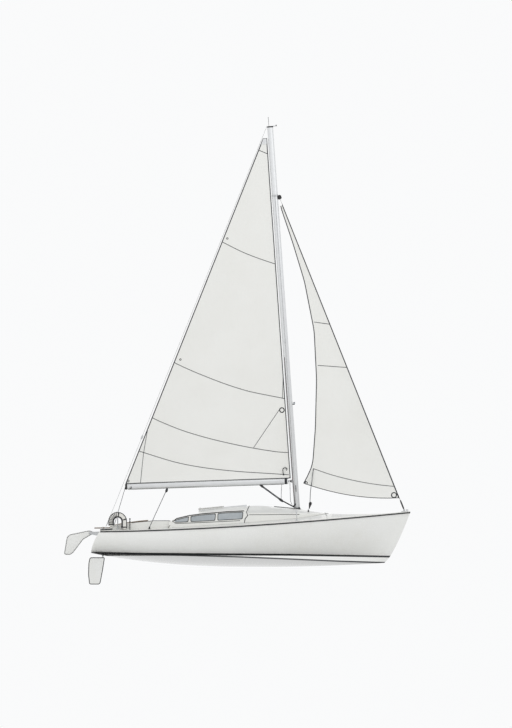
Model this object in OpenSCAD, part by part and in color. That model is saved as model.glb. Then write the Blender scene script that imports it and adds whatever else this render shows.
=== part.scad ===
// Small cabin sailing boat, afloat: hull, deck, coachroof, cockpit, raked mast with
// mainsail and jib, two rudders, sliding hatch and a centreboard drawn up in its case.
// X points forward, Y to port and Z up; the origin is on the centreline at the waterline.

/* [Hull] */
// Distance from the origin aft to the top of the transom
stern_reach = 3303; // [3150:1:3970]
// Distance from the origin forward to the stem head
bow_reach = 3487; // [3200:1:4190]
// Greatest beam of the hull
hull_beam = 2450; // [2040:10:2940]
// Beam at the top of the transom
transom_beam = 1700; // [1500:10:2040]
// Height of the deck edge over the water at the transom
freeboard_aft = 547; // [460:1:656]
// Height of the deck edge over the water at the stem head
freeboard_fore = 967; // [806:1:1160]
// Depth of the hull below the waterline
draught = 238; // [198:1:286]
// How far the foot of the transom lies aft of its top
transom_rake = 197; // [164:1:236]
// How far the forefoot lies aft of the stem head
stem_rake = 567; // [473:1:680]
// Wall of the hull moulding
shell_t = 14; // [12:1:17]
// Wall of the deck, coachroof and cockpit mouldings
deck_t = 12; // [10:1:14]
// Rise of the foredeck's middle over its edges
fore_crown = 112; // [93:1:134]
// Rise of the aft deck's middle over its edges
aft_crown = 30; // [25:1:36]
// Depth of the rubbing strake
strake_h = 28; // [23:1:34]
// Width of the rubbing strake
strake_w = 18; // [15:1:22]

/* [Coachroof] */
// Distance aft of the origin where the side wings end
wing_reach = 1740; // [1700:1:2000]
// Distance aft of the origin to the cabin bulkhead
bulkhead_reach = 1150; // [958:1:1380]
// Distance forward of the origin to the coachroof's nose
nose_reach = 1684; // [1500:1:2020]
// Width of each side deck beside the coachroof
side_deck_w = 330; // [275:1:396]
// Thickness of the cabin bulkhead
bulkhead_t = 20; // [17:1:24]
// Thickness of the window panes
pane_t = 6; // [5:1:7]
// Width of the companionway
companion_w = 520; // [433:1:600]
// Height of the companionway's sill over the water
sill_h = 430; // [360:1:516]

/* [Sliding hatch] */
// Length of the hatch lid
lid_l = 565; // [470:1:600]
// Thickness of the hatch lid
lid_t = 26; // [22:1:31]
// Length of the hatch's rails
rail_l = 1050; // [1045:1:1200]
// Width of each hatch rail
rail_w = 22; // [18:1:26]

/* [Cockpit] */
// Distance aft of the origin to the cockpit's aft wall
cockpit_reach = 2650; // [2500:1:2850]
// Width of the cockpit between its coamings
cockpit_w = 1280; // [1070:1:1400]
// Width of the foot well
well_w = 460; // [384:1:552]
// Height of the foot well's floor over the water
well_h = 80; // [67:1:96]
// Height of the cockpit seats over the water
seat_h = 330; // [275:1:380]
// Width of a coaming at its base
coaming_w = 84; // [70:1:100]

/* [Mast] */
// Distance forward of the origin to the middle of the mast's foot
mast_reach = 1006; // [850:1:1150]
// Length of the mast
mast_l = 8338; // [8000:1:10000]
// Rake of the mast
mast_rake = 4.05; // [3.4:0.05:4.8]
// Fore and aft size of the mast
mast_chord = 130; // [108:1:156]
// Width of the mast
mast_w = 90; // [75:1:108]
// Height of the stays' tangs up the mast
hounds_h = 6840; // [6300:1:7600]
// Height of the spreaders up the mast
spreader_h = 3620; // [3020:1:4340]
// Reach of each spreader from the middle of the mast
spreader_reach = 450; // [375:1:540]
// Radius of the stays' wire
wire_r = 2.5; // [2.1:0.1:3]

/* [Boom and sails] */
// Height of the gooseneck up the mast
gooseneck_h = 586; // [540:1:700]
// Gap between the mast and the boom's hinge line
gooseneck_gap = 22; // [18:1:26]
// Radius of the gooseneck's pin
gooseneck_pin_r = 8; // [7:0.5:9]
// Length from the boom's hinge line to its aft end
boom_l = 3634; // [3028:1:3650]
// Depth of the boom
boom_h = 120; // [100:1:144]
// Width of the boom
boom_w = 76; // [64:1:90]
// Droop of the boom towards its aft end
boom_droop = 1.95; // [1.6:0.05:2.3]
// Height of the mainsail's head up the mast
main_head_h = 8110; // [6760:1:8120]
// Width of the mainsail's head board
head_board_w = 70; // [58:1:75]
// Thickness that stands for the sailcloth
cloth_t = 5; // [4:0.5:6]
// Hollow of the mainsail, as a share of its width
main_camber = 0.04; // [0.033:0.001:0.048]
// Hollow of the jib, as a share of its width
jib_camber = 0.05; // [0.042:0.001:0.06]
// Distance of the jib's tack up the forestay
tack_h = 250; // [230:1:300]
// Length of the jib's luff
jib_luff_l = 6960; // [5800:1:7000]
// Distance of the jib's clew aft of its tack
clew_back = 2095; // [1746:1:2120]
// Height of the jib's clew over its tack
clew_rise = 322; // [268:1:386]
// Sag of the jib's foot below a straight line
foot_round = 110; // [92:1:120]

/* [Rudders and centreboard] */
// Distance of the rudder stock forward of the transom's top
stock_inset = 63; // [58:1:76]
// Radius of the rudder stock
stock_r = 16; // [14:0.5:18]
// Thickness of the main rudder blade
blade_t = 36; // [30:1:43]
// Distance of the main blade's top below the waterline
blade_top = 30; // [25:1:36]
// Height of the main blade
blade_h = 592; // [494:1:710]
// Length of the tiller forward of the stock
tiller_l = 990; // [825:1:1100]
// Distance of the lifting rudder to port of the centreline
lifting_offset = 450; // [375:1:500]
// Thickness of the lifting rudder's blade
lifting_t = 28; // [24:1:33]
// Length of the centreboard behind its pivot
board_l = 1150; // [960:1:1200]
// Height of the centreboard
board_h = 260; // [217:1:270]
// Thickness of the centreboard
board_t = 30; // [25:1:36]
// Distance forward of the origin to the centreboard's pivot
board_reach = 850; // [710:1:1000]
// Radius of the centreboard's pivot pin
board_pin_r = 12; // [10:0.5:14]

/* [Horseshoe buoy] */
// Width of the buoy
buoy_w = 400; // [334:1:440]
// Width of the space between the buoy's legs
buoy_gap = 182; // [152:1:218]
// Thickness of the buoy
buoy_t = 90; // [75:1:96]
// Height of the buoy
buoy_h = 380; // [330:1:456]

/* [Hidden] */
$fn = 48;

// Clearances
seat_gap = 0.3;      // between pieces that sit on each other
skirt_gap = 1.7;     // under the coachroof's curved edge
roof_gap = 0.6;      // under fittings that follow the curve of the roof or the deck
pin_gap = 0.08;      // round a pin in its bore
seam_w = 0.4;        // between panels of one moulding
slide_gap = 1;       // between the hatch and its rails
swing_gap = 6;       // beside a piece that swings

// Places along the boat
stern_x = -stern_reach;
bow_x = bow_reach;
foot_x = stern_x - transom_rake;
forefoot_x = bow_x - stem_rake;
rocker_x = 300;          // where the keel line is deepest
wing_x = -wing_reach;
bulkhead_x = -bulkhead_reach;
nose_x = nose_reach;
nose_start_x = 600;      // where the coachroof begins to narrow to its nose
cockpit_x = -cockpit_reach;
half_b = hull_beam / 2;
transom_half = transom_beam / 2;
beam_station = 0.42;     // where along the deck the beam is greatest
stem_half = 8;           // half width of the blunt stem
crown_full_half = 842;   // half width from which the deck has its full crown
aft_rise = draught + 66; // rise of the keel line from its deepest point to the transom
fore_rise = draught - 149;
transom_bulge = 37;
stem_bulge = 160;
bilge_power = 2.7;       // roundness of the sections amidships
bow_power = 1.3;         // roundness of the sections at the bow

function clamp01(v) = max(0, min(1, v));
function mix(a, b, k) = a + (b - a) * k;
function smooth(k) = let (c = clamp01(k)) c * c * (3 - 2 * c);
function unit(v) = v / norm(v);

// Deck edge, beam and keel line along the boat
function station(x) = clamp01((x - stern_x) / (bow_x - stern_x));
function sheer_z(x) = mix(freeboard_aft, freeboard_fore, pow(station(x), 1.6));
function half_beam(x) = let (t = station(x))
    t < beam_station
        ? half_b - (half_b - transom_half) * pow((beam_station - t) / beam_station, 2)
        : max(stem_half, half_b * (1 - pow((t - beam_station) / (1 - beam_station), 1.9)));
function keel_z(x) = x < rocker_x
    ? -draught + aft_rise * pow((rocker_x - x) / (rocker_x - foot_x), 2.5)
    : -draught + fore_rise * pow((x - rocker_x) / (forefoot_x - rocker_x), 1.9);

// Profiles of the transom and the stem, from the keel (v = 0) to the deck edge (v = 1)
function transom_at(v) = mix(foot_x, stern_x, v) - transom_bulge * 4 * v * (1 - v);
function stem_at(v) = mix(forefoot_x, bow_x, v) + stem_bulge * sqrt(v) * (1 - v);

// A section is a superellipse quarter whose power falls towards the bow
function section_power(t) = mix(bilge_power, bow_power, pow(t, 2.2));
function section_v(a, p) = 1 - pow(cos(a), 2 / p);
function section_w(a, p) = pow(sin(a), 2 / p);

// Point of the hull at share t of its length and angle a from keel to deck edge,
// moved inwards by wall inset, with in_aft and in_fore cut from the ends
function hull_point(t, a, side, inset, in_aft, in_fore) =
    let (s = station(mix(stern_x + in_aft, bow_x - in_fore, t)),
         p = section_power(s),
         v = section_v(a, p),
         x_low = mix(foot_x, forefoot_x, s),
         x_top = mix(stern_x, bow_x, s),
         z_low = keel_z(x_low) + inset)
    [mix(transom_at(v) + in_aft, stem_at(v) - in_fore, t),
     side * max(1, half_beam(x_top) - 1.2 * inset) * section_w(a, p),
     mix(z_low, sheer_z(x_top), v)];

// Half width of the hull's inner face at a place and a height, less a margin
function inner_half(x, z) =
    let (v = clamp01((z - keel_z(x) - shell_t) / (sheer_z(x) - keel_z(x) - shell_t)),
         s = clamp01((x - transom_at(v)) / (stem_at(v) - transom_at(v))),
         p = section_power(s))
    (half_beam(mix(stern_x, bow_x, s)) - 1.2 * shell_t) * pow(1 - pow(1 - v, p), 1 / p) - 16;

// Top face of the deck
function deck_crown(x) = mix(aft_crown, fore_crown, smooth((station(x) - 0.1) / 0.5))
    * min(1, pow(half_beam(x) / crown_full_half, 2.6));
function deck_rise(x, y) = deck_crown(x) * (1 - pow(min(1, abs(y) / half_beam(x)), 2));
function deck_top(x, y) = sheer_z(x) + seat_gap + deck_t + deck_rise(x, y);

// Coachroof: height of the side's top edge and of the roof's middle over the deck edge,
// as [share of the length from the wing's end to the nose, height]
side_heights = [[0, 128], [0.007, 160], [0.034, 233], [0.072, 259], [0.114, 286], [0.19, 308],
    [0.268, 318], [0.356, 328], [0.478, 321], [0.494, 229], [0.821, 160], [0.958, 138], [1, 128]];
crown_heights = [[0, 330], [0.176, 376], [0.329, 425], [0.45, 433], [0.577, 405],
    [0.634, 377], [0.829, 267], [0.866, 228], [0.92, 186], [0.973, 148], [1, 131]];
side_lean = 0.2;         // inward lean of the cabin sides
function roof_share(x) = clamp01((x - wing_x) / (nose_x - wing_x));
function nose_taper(x) = x < nose_start_x ? 1
    : sqrt(max(0, 1 - pow((x - nose_start_x) / (nose_x - nose_start_x), 2)));
function base_half(x) = max(25, (half_beam(x) - side_deck_w) * nose_taper(x));
function edge_rise(x) = lookup(roof_share(x), side_heights);
function edge_half(x) = base_half(x) - side_lean
    * min(0.5 * base_half(x), max(0, sheer_z(x) + edge_rise(x) - deck_top(x, base_half(x))));
function edge_z(x) = sheer_z(x) + edge_rise(x);
function crown_z(x) = sheer_z(x) + lookup(roof_share(x), crown_heights);
function roof_z(x, y) = edge_z(x) + (crown_z(x) - edge_z(x))
    * (1 - pow(min(1, abs(y) / edge_half(x)), 2.2));

// Section of the coachroof from starboard base to port base, inset by a wall
roof_shares = [0.96, 0.85, 0.68, 0.48, 0.25];
function roof_half_section(x, inset) =
    let (base = [base_half(x) - inset, deck_top(x, base_half(x) - inset) + skirt_gap],
         edge = [edge_half(x) - inset, edge_z(x) - inset])
    [base, mix(base, edge, 0.5), mix(base, edge, 0.88),
     for (k = roof_shares) [k * edge[0], roof_z(x, k * edge_half(x)) - inset]];
function roof_section(x, inset) =
    let (half = roof_half_section(x, inset), n = len(half))
    [for (q = half) [x, -q[0], q[1]], [x, 0, crown_z(x) - inset],
     for (i = [n - 1:-1:0]) [x, half[i][0], half[i][1]]];

// Solid between closed rings of equally many points; an end is closed by rungs between
// the two halves of its ring
module ring_loft(rings) {
    n = len(rings[0]);
    last = (len(rings) - 1) * n;
    polyhedron(points = [for (r = rings) each r], faces = [
        for (j = [0:n / 2 - 2])
            let (k = n - 1 - j) each [[k, k - 1, j + 1], [k, j + 1, j]],
        for (i = [0:len(rings) - 2], j = [0:n - 1])
            let (a = i * n + j, b = i * n + (j + 1) % n) each [[a, b, b + n], [a, b + n, a + n]],
        for (j = [0:n / 2 - 2])
            let (k = n - 1 - j) each [[last + j, last + j + 1, last + k - 1],
                [last + j, last + k - 1, last + k]]]);
}

// Open trough with a wall: two grids of sections, joined round their edge and capped
// at both ends
module trough(outer, inner) {
    nu = len(outer);
    nv = len(outer[0]);
    k = nu * nv;
    h = (nv - 1) / 2;
    function quad(a, b, c, d) = [[a, b, c], [a, c, d]];
    function at(g, i, j) = g * k + i * nv + j;
    function cap(g, i, flip) = [for (j = [0:h - 1])
        let (a = at(g, i, j), b = at(g, i, j + 1),
             c = at(g, i, nv - 2 - j), d = at(g, i, nv - 1 - j))
        each (j == h - 1
            ? [flip ? [a, b, d] : [d, b, a]]
            : (flip ? quad(a, b, c, d) : quad(d, c, b, a)))];
    polyhedron(points = concat([for (r = outer) each r], [for (r = inner) each r]), faces = [
        for (i = [0:nu - 2], j = [0:nv - 2])
            each quad(at(0, i, j), at(0, i, j + 1), at(0, i + 1, j + 1), at(0, i + 1, j)),
        for (i = [0:nu - 2], j = [0:nv - 2])
            each quad(at(1, i + 1, j), at(1, i + 1, j + 1), at(1, i, j + 1), at(1, i, j)),
        each cap(0, 0, false), each cap(0, nu - 1, true),
        each cap(1, 0, true), each cap(1, nu - 1, false),
        for (i = [0:nu - 2])
            each quad(at(0, i, 0), at(0, i + 1, 0), at(1, i + 1, 0), at(1, i, 0)),
        for (i = [0:nu - 2])
            each quad(at(0, i + 1, nv - 1), at(0, i, nv - 1), at(1, i, nv - 1), at(1, i + 1, nv - 1)),
        each quad(at(0, 0, nv - 1), at(0, 0, 0), at(1, 0, 0), at(1, 0, nv - 1)),
        each quad(at(0, nu - 1, 0), at(0, nu - 1, nv - 1), at(1, nu - 1, nv - 1), at(1, nu - 1, 0))]);
}

// Round rod between two points
module rod(a, b, r) {
    d = b - a;
    translate(a)
        rotate([0, acos(d[2] / norm(d)), atan2(d[1], d[0])])
            cylinder(r = r, h = norm(d));
}

// Outline with straight sides and round ends
module stadium(l, w) {
    square([l - w, w], center = true);
    for (s = [-1, 1])
        translate([s * (l - w) / 2, 0]) circle(d = w);
}

// Extrudes an outline drawn in X and Z along Y, centred on y
module plate_xz(t, y = 0) {
    translate([0, y + t / 2, 0]) rotate([90, 0, 0]) linear_extrude(t) children();
}

hull_stations = [for (i = [0:27]) i / 27];
hull_fill = 60;          // solid length inside the stem
function hull_grid(inset, in_aft, in_fore) = [for (t = hull_stations)
    [for (j = [8:-1:-8]) hull_point(t, abs(j) * 90 / 8, sign(j), inset, in_aft, in_fore)]];

// Centreboard slot and case
slot_w = board_t + 2 * swing_gap + 2;
board_head_r = board_h / 2;
slot_fore_x = board_reach + board_head_r + swing_gap + 6;
slot_aft_x = board_reach - board_l - swing_gap - 6;
board_bottom_z = -draught + 6;
board_pivot_z = board_bottom_z + board_h / 2;
case_top_z = board_pivot_z + norm([board_h / 2, board_h / 2]) + swing_gap;
stock_x = stern_x + stock_inset;
tube_r = stock_r + 10;
stock_gap = 0.3;

module hull_moulding() {
    color("white") difference() {
        trough(hull_grid(0, 0, 0), hull_grid(shell_t, shell_t, hull_fill));
        translate([stock_x, 0, -draught]) cylinder(r = stock_r + 1, h = freeboard_aft);
        translate([slot_aft_x, -slot_w / 2, -2 * draught])
            cube([slot_fore_x - slot_aft_x, slot_w, 2 * draught]);
    }
}

// Deck: a cambered sheet with the cockpit and cabin openings cut from it
tub_half = cockpit_w / 2 + deck_t;
function deck_ring(x) = let (b = half_beam(x), n = 5)
    [for (j = [n:-1:-n]) [x, b * j / n, deck_top(x, b * j / n) - deck_t],
     for (j = [-n:n]) [x, b * j / n, deck_top(x, b * j / n)]];
opening_margin = deck_t + 4;
cabin_opening_x = bulkhead_x + bulkhead_t + 10;
opening_front_x = nose_x - 30;
cabin_opening = [for (i = [0:14])
    let (x = mix(cabin_opening_x, opening_front_x, i / 14)) [x, base_half(x) - opening_margin]];
module deck_moulding() {
    color("white") difference() {
        ring_loft([for (t = hull_stations) deck_ring(mix(stern_x, bow_x, t))]);
        linear_extrude(3 * freeboard_fore) {
            translate([cockpit_x - deck_t - roof_gap, -tub_half - roof_gap])
                square([cabin_opening_x - cockpit_x + deck_t + roof_gap + 1,
                    2 * (tub_half + roof_gap)]);
            polygon([for (q = cabin_opening) q,
                for (i = [14:-1:0]) [cabin_opening[i][0], -cabin_opening[i][1]]]);
        }
        translate([stock_x, 0, 0]) cylinder(r = tube_r + roof_gap, h = 2 * freeboard_aft);
        // seam between the aft deck and the rest
        translate([cockpit_x - deck_t - roof_gap - seam_w, -hull_beam, 0])
            cube([seam_w, 2 * hull_beam, 3 * freeboard_fore]);
    }
}

// Rubbing strake along each side, just under the deck
strake_xs = concat([stern_x + 5],
    [for (i = [1:len(hull_stations) - 1]) mix(stern_x, bow_x, hull_stations[i])]);
module rubbing_strakes() {
    color("dimgray") for (side = [-1, 1])
        ring_loft([for (x = strake_xs)
            let (y = half_beam(x) + 2 * seat_gap, z = sheer_z(x) - 2,
                 ring = [[x, side * y, z], [x, side * (y + strake_w), z - 5],
                    [x, side * (y + strake_w), z - strake_h + 5],
                    [x, side * (y + 2.5), z - strake_h]])
            side > 0 ? ring : [for (j = [3:-1:0]) ring[j]]]);
}

// Windows: outlines in X and Z, [aft x, fore x] with the sill and top following the side
pane_spans = [[-1722, -1362], [-1318, -772], [-728, -176]];
pane_margin = 36;        // between a pane and the cabin side's top edge
sill_rise = 150;         // from the deck edge up to the window's sill
pane_seat = 0.4;
// Outline of one pane, shrunk by d: sill aft, sill fore, then the top edge back aft
function pane_outline(span, d) =
    let (x0 = span[0] + d, x1 = span[1] - d, n = 4)
    [[x0, sheer_z(x0) + sill_rise + 12 + d], [x0 + 14, sheer_z(x0) + sill_rise + d],
     [x1 - 30, sheer_z(x1) + sill_rise + d], [x1 - 18, sheer_z(x1) + sill_rise + 12 + d],
     for (i = [n:-1:0]) let (x = mix(x0, x1, i / n))
        [x, max(sheer_z(x) + sill_rise + 26 + d, edge_z(x) - pane_margin - d)]];

wall_lip = 8;            // the wing's top keeps this much inward lip
hatch_half = companion_w / 2 + 10;
hatch_fore_x = bulkhead_x + lid_l - 55;
roof_shares_x = [0, 0.007, 0.034, 0.072, 0.114, 0.15, 0.19, 0.23, 0.268, 0.31, 0.356, 0.41,
    0.478, 0.494, 0.54, 0.6, 0.66, 0.72, 0.78, 0.83, 0.87, 0.91];
nose_shares_x = [0.93, 0.95, 0.965, 0.98, 0.99, 0.996, 1];
function roof_x(share) = mix(wing_x, nose_x, share);
roof_xs = [for (s = roof_shares_x) roof_x(s)];
roof_outer_xs = concat(roof_xs, [for (s = nose_shares_x) roof_x(s)]);
// The inner grid ends early, so that the nose is solid
nose_start_i = len(roof_xs) - 1;
nose_step = 4;
function inner_roof_x(i) = i == 0 ? wing_x + deck_t
    : min(roof_xs[nose_start_i], roof_outer_xs[i]) + max(0, i - nose_start_i) * nose_step;

module coachroof() {
    n = len(roof_outer_xs);
    color("white") difference() {
        trough([for (x = roof_outer_xs) roof_section(x, 0)],
            [for (i = [0:n - 1]) roof_section(inner_roof_x(i), deck_t)]);
        // open space between the wings
        linear_extrude(3 * freeboard_fore) polygon([
            for (i = [0:8]) let (x = mix(wing_x - 20, bulkhead_x, i / 8))
                [x, edge_half(x) - deck_t - wall_lip],
            for (i = [8:-1:0]) let (x = mix(wing_x - 20, bulkhead_x, i / 8))
                [x, -edge_half(x) + deck_t + wall_lip]]);
        // hatch opening
        translate([bulkhead_x - 20, -hatch_half, freeboard_fore - 150])
            cube([hatch_fore_x - bulkhead_x + 20, 2 * hatch_half, 500]);
        for (span = pane_spans)
            plate_xz(hull_beam) polygon(pane_outline(span, 0));
    }
}

// Panes follow the cabin side inside its wall
function pane_ring(x, side) =
    let (low = [base_half(x), deck_top(x, base_half(x))],
         high = [edge_half(x), edge_z(x)],
         a = mix(low, high, 0.05), b = mix(low, high, 0.95),
         out = 3, inn = out + pane_t,
         ring = [[x, side * (a[0] - out), a[1]], [x, side * (a[0] - inn), a[1]],
            [x, side * (b[0] - inn), b[1]], [x, side * (b[0] - out), b[1]]])
    side < 0 ? [for (j = [3:-1:0]) ring[j]] : ring;
module windows(side) {
    color("slategray") for (span = pane_spans)
        intersection() {
            ring_loft([for (i = [0:6]) pane_ring(mix(span[0] - 5, span[1] + 5, i / 6), side)]);
            plate_xz(hull_beam) polygon(pane_outline(span, pane_seat));
        }
}
module windows_starboard() { windows(-1); }
module windows_port() { windows(1); }

// Cabin bulkhead across the cabin's aft end, open at the companionway
wall_gap = 0.5;
tub_wall_top = seat_h + 330;
module cabin_bulkhead() {
    x = bulkhead_x;
    w = roof_section(x, deck_t + wall_gap);
    n = (len(w) - 1) / 2;
    low = well_h - deck_t;
    deck_z = deck_top(x + bulkhead_t, tub_half) + roof_gap;
    color("white") translate([x, 0, 0]) rotate([90, 0, 90]) linear_extrude(bulkhead_t)
        difference() {
            polygon([[-cockpit_w / 2, low], [-cockpit_w / 2, deck_z],
                [-base_half(x) + deck_t + 4, deck_z],
                for (i = [1:2 * n - 1]) [w[i][1], w[i][2]],
                [base_half(x) - deck_t - 4, deck_z], [cockpit_w / 2, deck_z],
                [cockpit_w / 2, low]]);
            translate([-companion_w / 2, sill_h]) square([companion_w, 3 * freeboard_fore]);
        }
}

// Three washboards stacked in the companionway
board_gap = 0.4;
washboard_t = 14;
washboards_top = crown_z(bulkhead_x) - deck_t - 2;
module washboards() {
    each_h = (washboards_top - sill_h) / 3;
    color("burlywood") for (i = [0:2])
        translate([bulkhead_x + 3, -companion_w / 2 + board_gap, sill_h + i * each_h + board_gap])
            cube([washboard_t, companion_w - 2 * board_gap, each_h - board_gap]);
}

// Cockpit: seats and foot well moulded in one, open towards the bulkhead, and an aft panel
module cockpit_tub() {
    t = deck_t;
    x0 = cockpit_x;
    l = bulkhead_x - seat_gap - x0;
    cw = cockpit_w;
    color("whitesmoke") difference() {
        union() {
            translate([x0 - t, -cw / 2 - t, seat_h - t])
                cube([l + t, cw + 2 * t, tub_wall_top - seat_h + t]);
            translate([x0 + 100 - t, -well_w / 2 - t, well_h - t])
                cube([l - 100 + t, well_w + 2 * t, seat_h - well_h]);
        }
        translate([x0, -cw / 2, seat_h]) cube([l + 50, cw, tub_wall_top]);
        translate([x0 + 100, -well_w / 2, well_h]) cube([l + 50, well_w, tub_wall_top]);
        translate([x0 - seam_w, -cw, 0]) cube([seam_w, 2 * cw, 2 * tub_wall_top]);
    }
}

// Coamings: a low run beside the aft deck that rises past the cockpit to the wing,
// as [distance aft of the origin, height over the deck edge]
coaming_tops = [[3100, 62], [3014, 118], [2616, 166], [2428, 180], [2126, 198], [1800, 186],
    [1752, 176]];
module coaming(side) {
    y0 = tub_half + roof_gap;
    color("white") ring_loft([for (q = coaming_tops)
        let (x = -q[0], top = sheer_z(x) + q[1], low0 = deck_top(x, y0) + roof_gap,
             low1 = deck_top(x, y0 + coaming_w) + roof_gap,
             ring = [[x, side * y0, low0], [x, side * y0, top - 10], [x, side * (y0 + 12), top],
                [x, side * (y0 + coaming_w - 30), top],
                [x, side * (y0 + coaming_w - 16), top - 12], [x, side * (y0 + coaming_w), low1]])
        side > 0 ? ring : [for (j = [5:-1:0]) ring[j]]]);
}
module coaming_starboard() { coaming(-1); }
module coaming_port() { coaming(1); }

// Cabin liner: a bunk each side and the cabin sole between them
sole_z = -120;
bunk_z = 150;
sole_half = 280;
liner_t = 12;
liner_fore_x = 1500;
module cabin_liner() {
    color("oldlace") difference() {
        ring_loft([for (i = [0:12])
            let (x = mix(bulkhead_x + bulkhead_t + wall_gap, liner_fore_x, i / 12),
                 s = min(sole_half, inner_half(x, sole_z - liner_t) - liner_t - 20),
                 h = inner_half(x, bunk_z - liner_t), t = liner_t)
            [[x, h, bunk_z - t], [x, s + t, bunk_z - t], [x, s + t, sole_z - t],
             [x, -s - t, sole_z - t], [x, -s - t, bunk_z - t], [x, -h, bunk_z - t],
             [x, -h, bunk_z], [x, -s, bunk_z], [x, -s, sole_z], [x, s, sole_z],
             [x, s, bunk_z], [x, h, bunk_z]]]);
        translate([slot_aft_x - 13, -slot_w / 2 - 13, -draught])
            cube([slot_fore_x - slot_aft_x + 26, slot_w + 26, draught]);
    }
}

// Case that holds the raised centreboard, with its pivot pin
case_lift = 3.4;           // of the case's foot over the keel line inside the hull
module centreboard_case() {
    t = 12;
    low = max(keel_z(slot_fore_x + t), keel_z(slot_aft_x - t)) + shell_t + case_lift;
    l = slot_fore_x - slot_aft_x;
    color("white") {
        difference() {
            translate([slot_aft_x - t, -slot_w / 2 - t, low])
                cube([l + 2 * t, slot_w + 2 * t, case_top_z + t - low]);
            translate([slot_aft_x, -slot_w / 2, low - 1])
                cube([l, slot_w, case_top_z + 1 - low]);
        }
        translate([board_reach, 0, board_pivot_z]) rotate([90, 0, 0])
            cylinder(r = board_pin_r, h = slot_w + t, center = true);
    }
}

module centreboard() {
    r = board_h / 2;
    color("lightsteelblue") difference() {
        plate_xz(board_t) {
            translate([board_reach, board_pivot_z]) circle(r = r);
            translate([board_reach - board_l + 60, board_pivot_z - r]) square([board_l - 60, board_h]);
            translate([board_reach - board_l, board_pivot_z - r + 60]) square([61, board_h - 60]);
            translate([board_reach - board_l + 60, board_pivot_z - r + 60]) circle(r = 60);
        }
        translate([board_reach, 0, board_pivot_z]) rotate([90, 0, 0])
            cylinder(r = board_pin_r + pin_gap, h = 2 * board_t, center = true);
    }
}

// Rails that carry the sliding hatch, straight on top and fitted to the roof below
rail_in = hatch_half + 24;
rail_aft_x = bulkhead_x + 8;
rail_fore_x = rail_aft_x + rail_l;
aft_lift = 29;           // height of the rails over the roof's middle at their aft end
fore_lift = 24;          // and at their fore end
rail_aft_z = crown_z(rail_aft_x) + aft_lift;
rail_fore_z = crown_z(rail_fore_x) + fore_lift;
rail_slope = atan((rail_fore_z - rail_aft_z) / rail_l);
function rail_top(x) = mix(rail_aft_z, rail_fore_z, (x - rail_aft_x) / rail_l);
module hatch_rails() {
    color("silver") for (side = [-1, 1])
        ring_loft([for (i = [0:10])
            let (x = mix(rail_aft_x, rail_fore_x, i / 10), a = rail_in, b = rail_in + rail_w,
                 ring = [[x, side * a, roof_z(x, a) + roof_gap], [x, side * a, rail_top(x)],
                    [x, side * b, rail_top(x)], [x, side * b, roof_z(x, b) + roof_gap]])
            side > 0 ? ring : [for (j = [3:-1:0]) ring[j]]]);
}

// Sliding hatch: a lid that lies on the rails, with a lip outside each rail
lip_h = 16;
module sliding_hatch() {
    out = rail_in + rail_w + slide_gap + 12;
    color("white") translate([rail_aft_x, 0, rail_aft_z + seat_gap]) rotate([0, -rail_slope, 0])
        translate([-12, 0, 0]) {
            translate([0, -out, 0]) cube([lid_l, 2 * out, lid_t]);
            for (side = [-1, 1])
                translate([0, side * (out - 6) - 6, -lip_h]) cube([lid_l, 12, lip_h + 1]);
        }
}

// Mast frame: origin at the middle of the mast's foot, Z up the mast
foot_plate_t = 12;
foot_rise = 14;          // wedge under the mast at its middle
mast_foot_z = crown_z(mast_reach) + roof_gap + foot_plate_t + foot_rise;
mast_up = [-sin(mast_rake), 0, cos(mast_rake)];
mast_fore = [cos(mast_rake), 0, sin(mast_rake)];
mast_foot = [mast_reach, 0, mast_foot_z];
function on_mast(f, y, h) = mast_foot + f * mast_fore + [0, y, 0] + h * mast_up;
module at_mast() {
    translate(mast_foot) rotate([0, -mast_rake, 0]) children();
}

module mast() {
    color("lightgray") at_mast() linear_extrude(mast_l) stadium(mast_chord, mast_w);
}

// Mast step: a long plate on the roof's crown and a wedge up to the mast's foot
step_aft = 500;          // from the mast's middle to the plate's aft end
step_fore = 90;
step_half = 80;
module mast_step() {
    xs = [for (i = [0:8]) mast_reach + mix(-step_aft, step_fore, i / 8)];
    plate_z = crown_z(mast_reach - mast_chord / 2 - 4) + roof_gap + foot_plate_t;
    nose_z = crown_z(mast_reach + mast_chord / 2 + 4) + roof_gap + foot_plate_t;
    half = mast_chord / 2 + 4;
    color("dimgray") {
        ring_loft([for (x = xs) [
            for (k = [1, 0, -1]) [x, k * step_half, roof_z(x, k * step_half) + roof_gap],
            for (k = [-1, 0, 1])
                [x, k * step_half, roof_z(x, k * step_half) + roof_gap + foot_plate_t]]]);
        translate([0, mast_w / 2 + 4, 0]) rotate([90, 0, 0]) linear_extrude(mast_w + 8) polygon([
            [mast_reach - half, plate_z + 0.5], [mast_reach + half, nose_z + 0.5],
            [mast_reach + half, mast_foot_z + half * tan(mast_rake) - seat_gap],
            [mast_reach - half, mast_foot_z - half * tan(mast_rake) - seat_gap]]);
    }
}

// Gooseneck: two lugs and a pin on the mast, and the boom's knuckle between them
hinge_back = mast_chord / 2 + gooseneck_gap;
knuckle_h = 50;
knuckle_r = 14;
lug_t = 8;
lug_gap = 1;
pivot = on_mast(-hinge_back, 0, gooseneck_h);
module gooseneck_bracket() {
    color("dimgray") at_mast() translate([0, 0, gooseneck_h]) {
        difference() {
            for (s = [-1, 1])
                translate([-hinge_back - knuckle_r, -knuckle_r,
                        s * (knuckle_h / 2 + lug_gap + lug_t / 2) - lug_t / 2])
                    cube([hinge_back + knuckle_r - mast_chord / 2 + 20, 2 * knuckle_r, lug_t]);
            translate([0, 0, -100]) linear_extrude(200) offset_stadium(mast_chord, mast_w, seat_gap);
        }
        translate([-hinge_back, 0, 0])
            cylinder(r = gooseneck_pin_r, h = knuckle_h + 2 * (lug_gap + lug_t), center = true);
    }
}
module offset_stadium(l, w, d) { stadium(l + 2 * d, w + 2 * d); }

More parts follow.
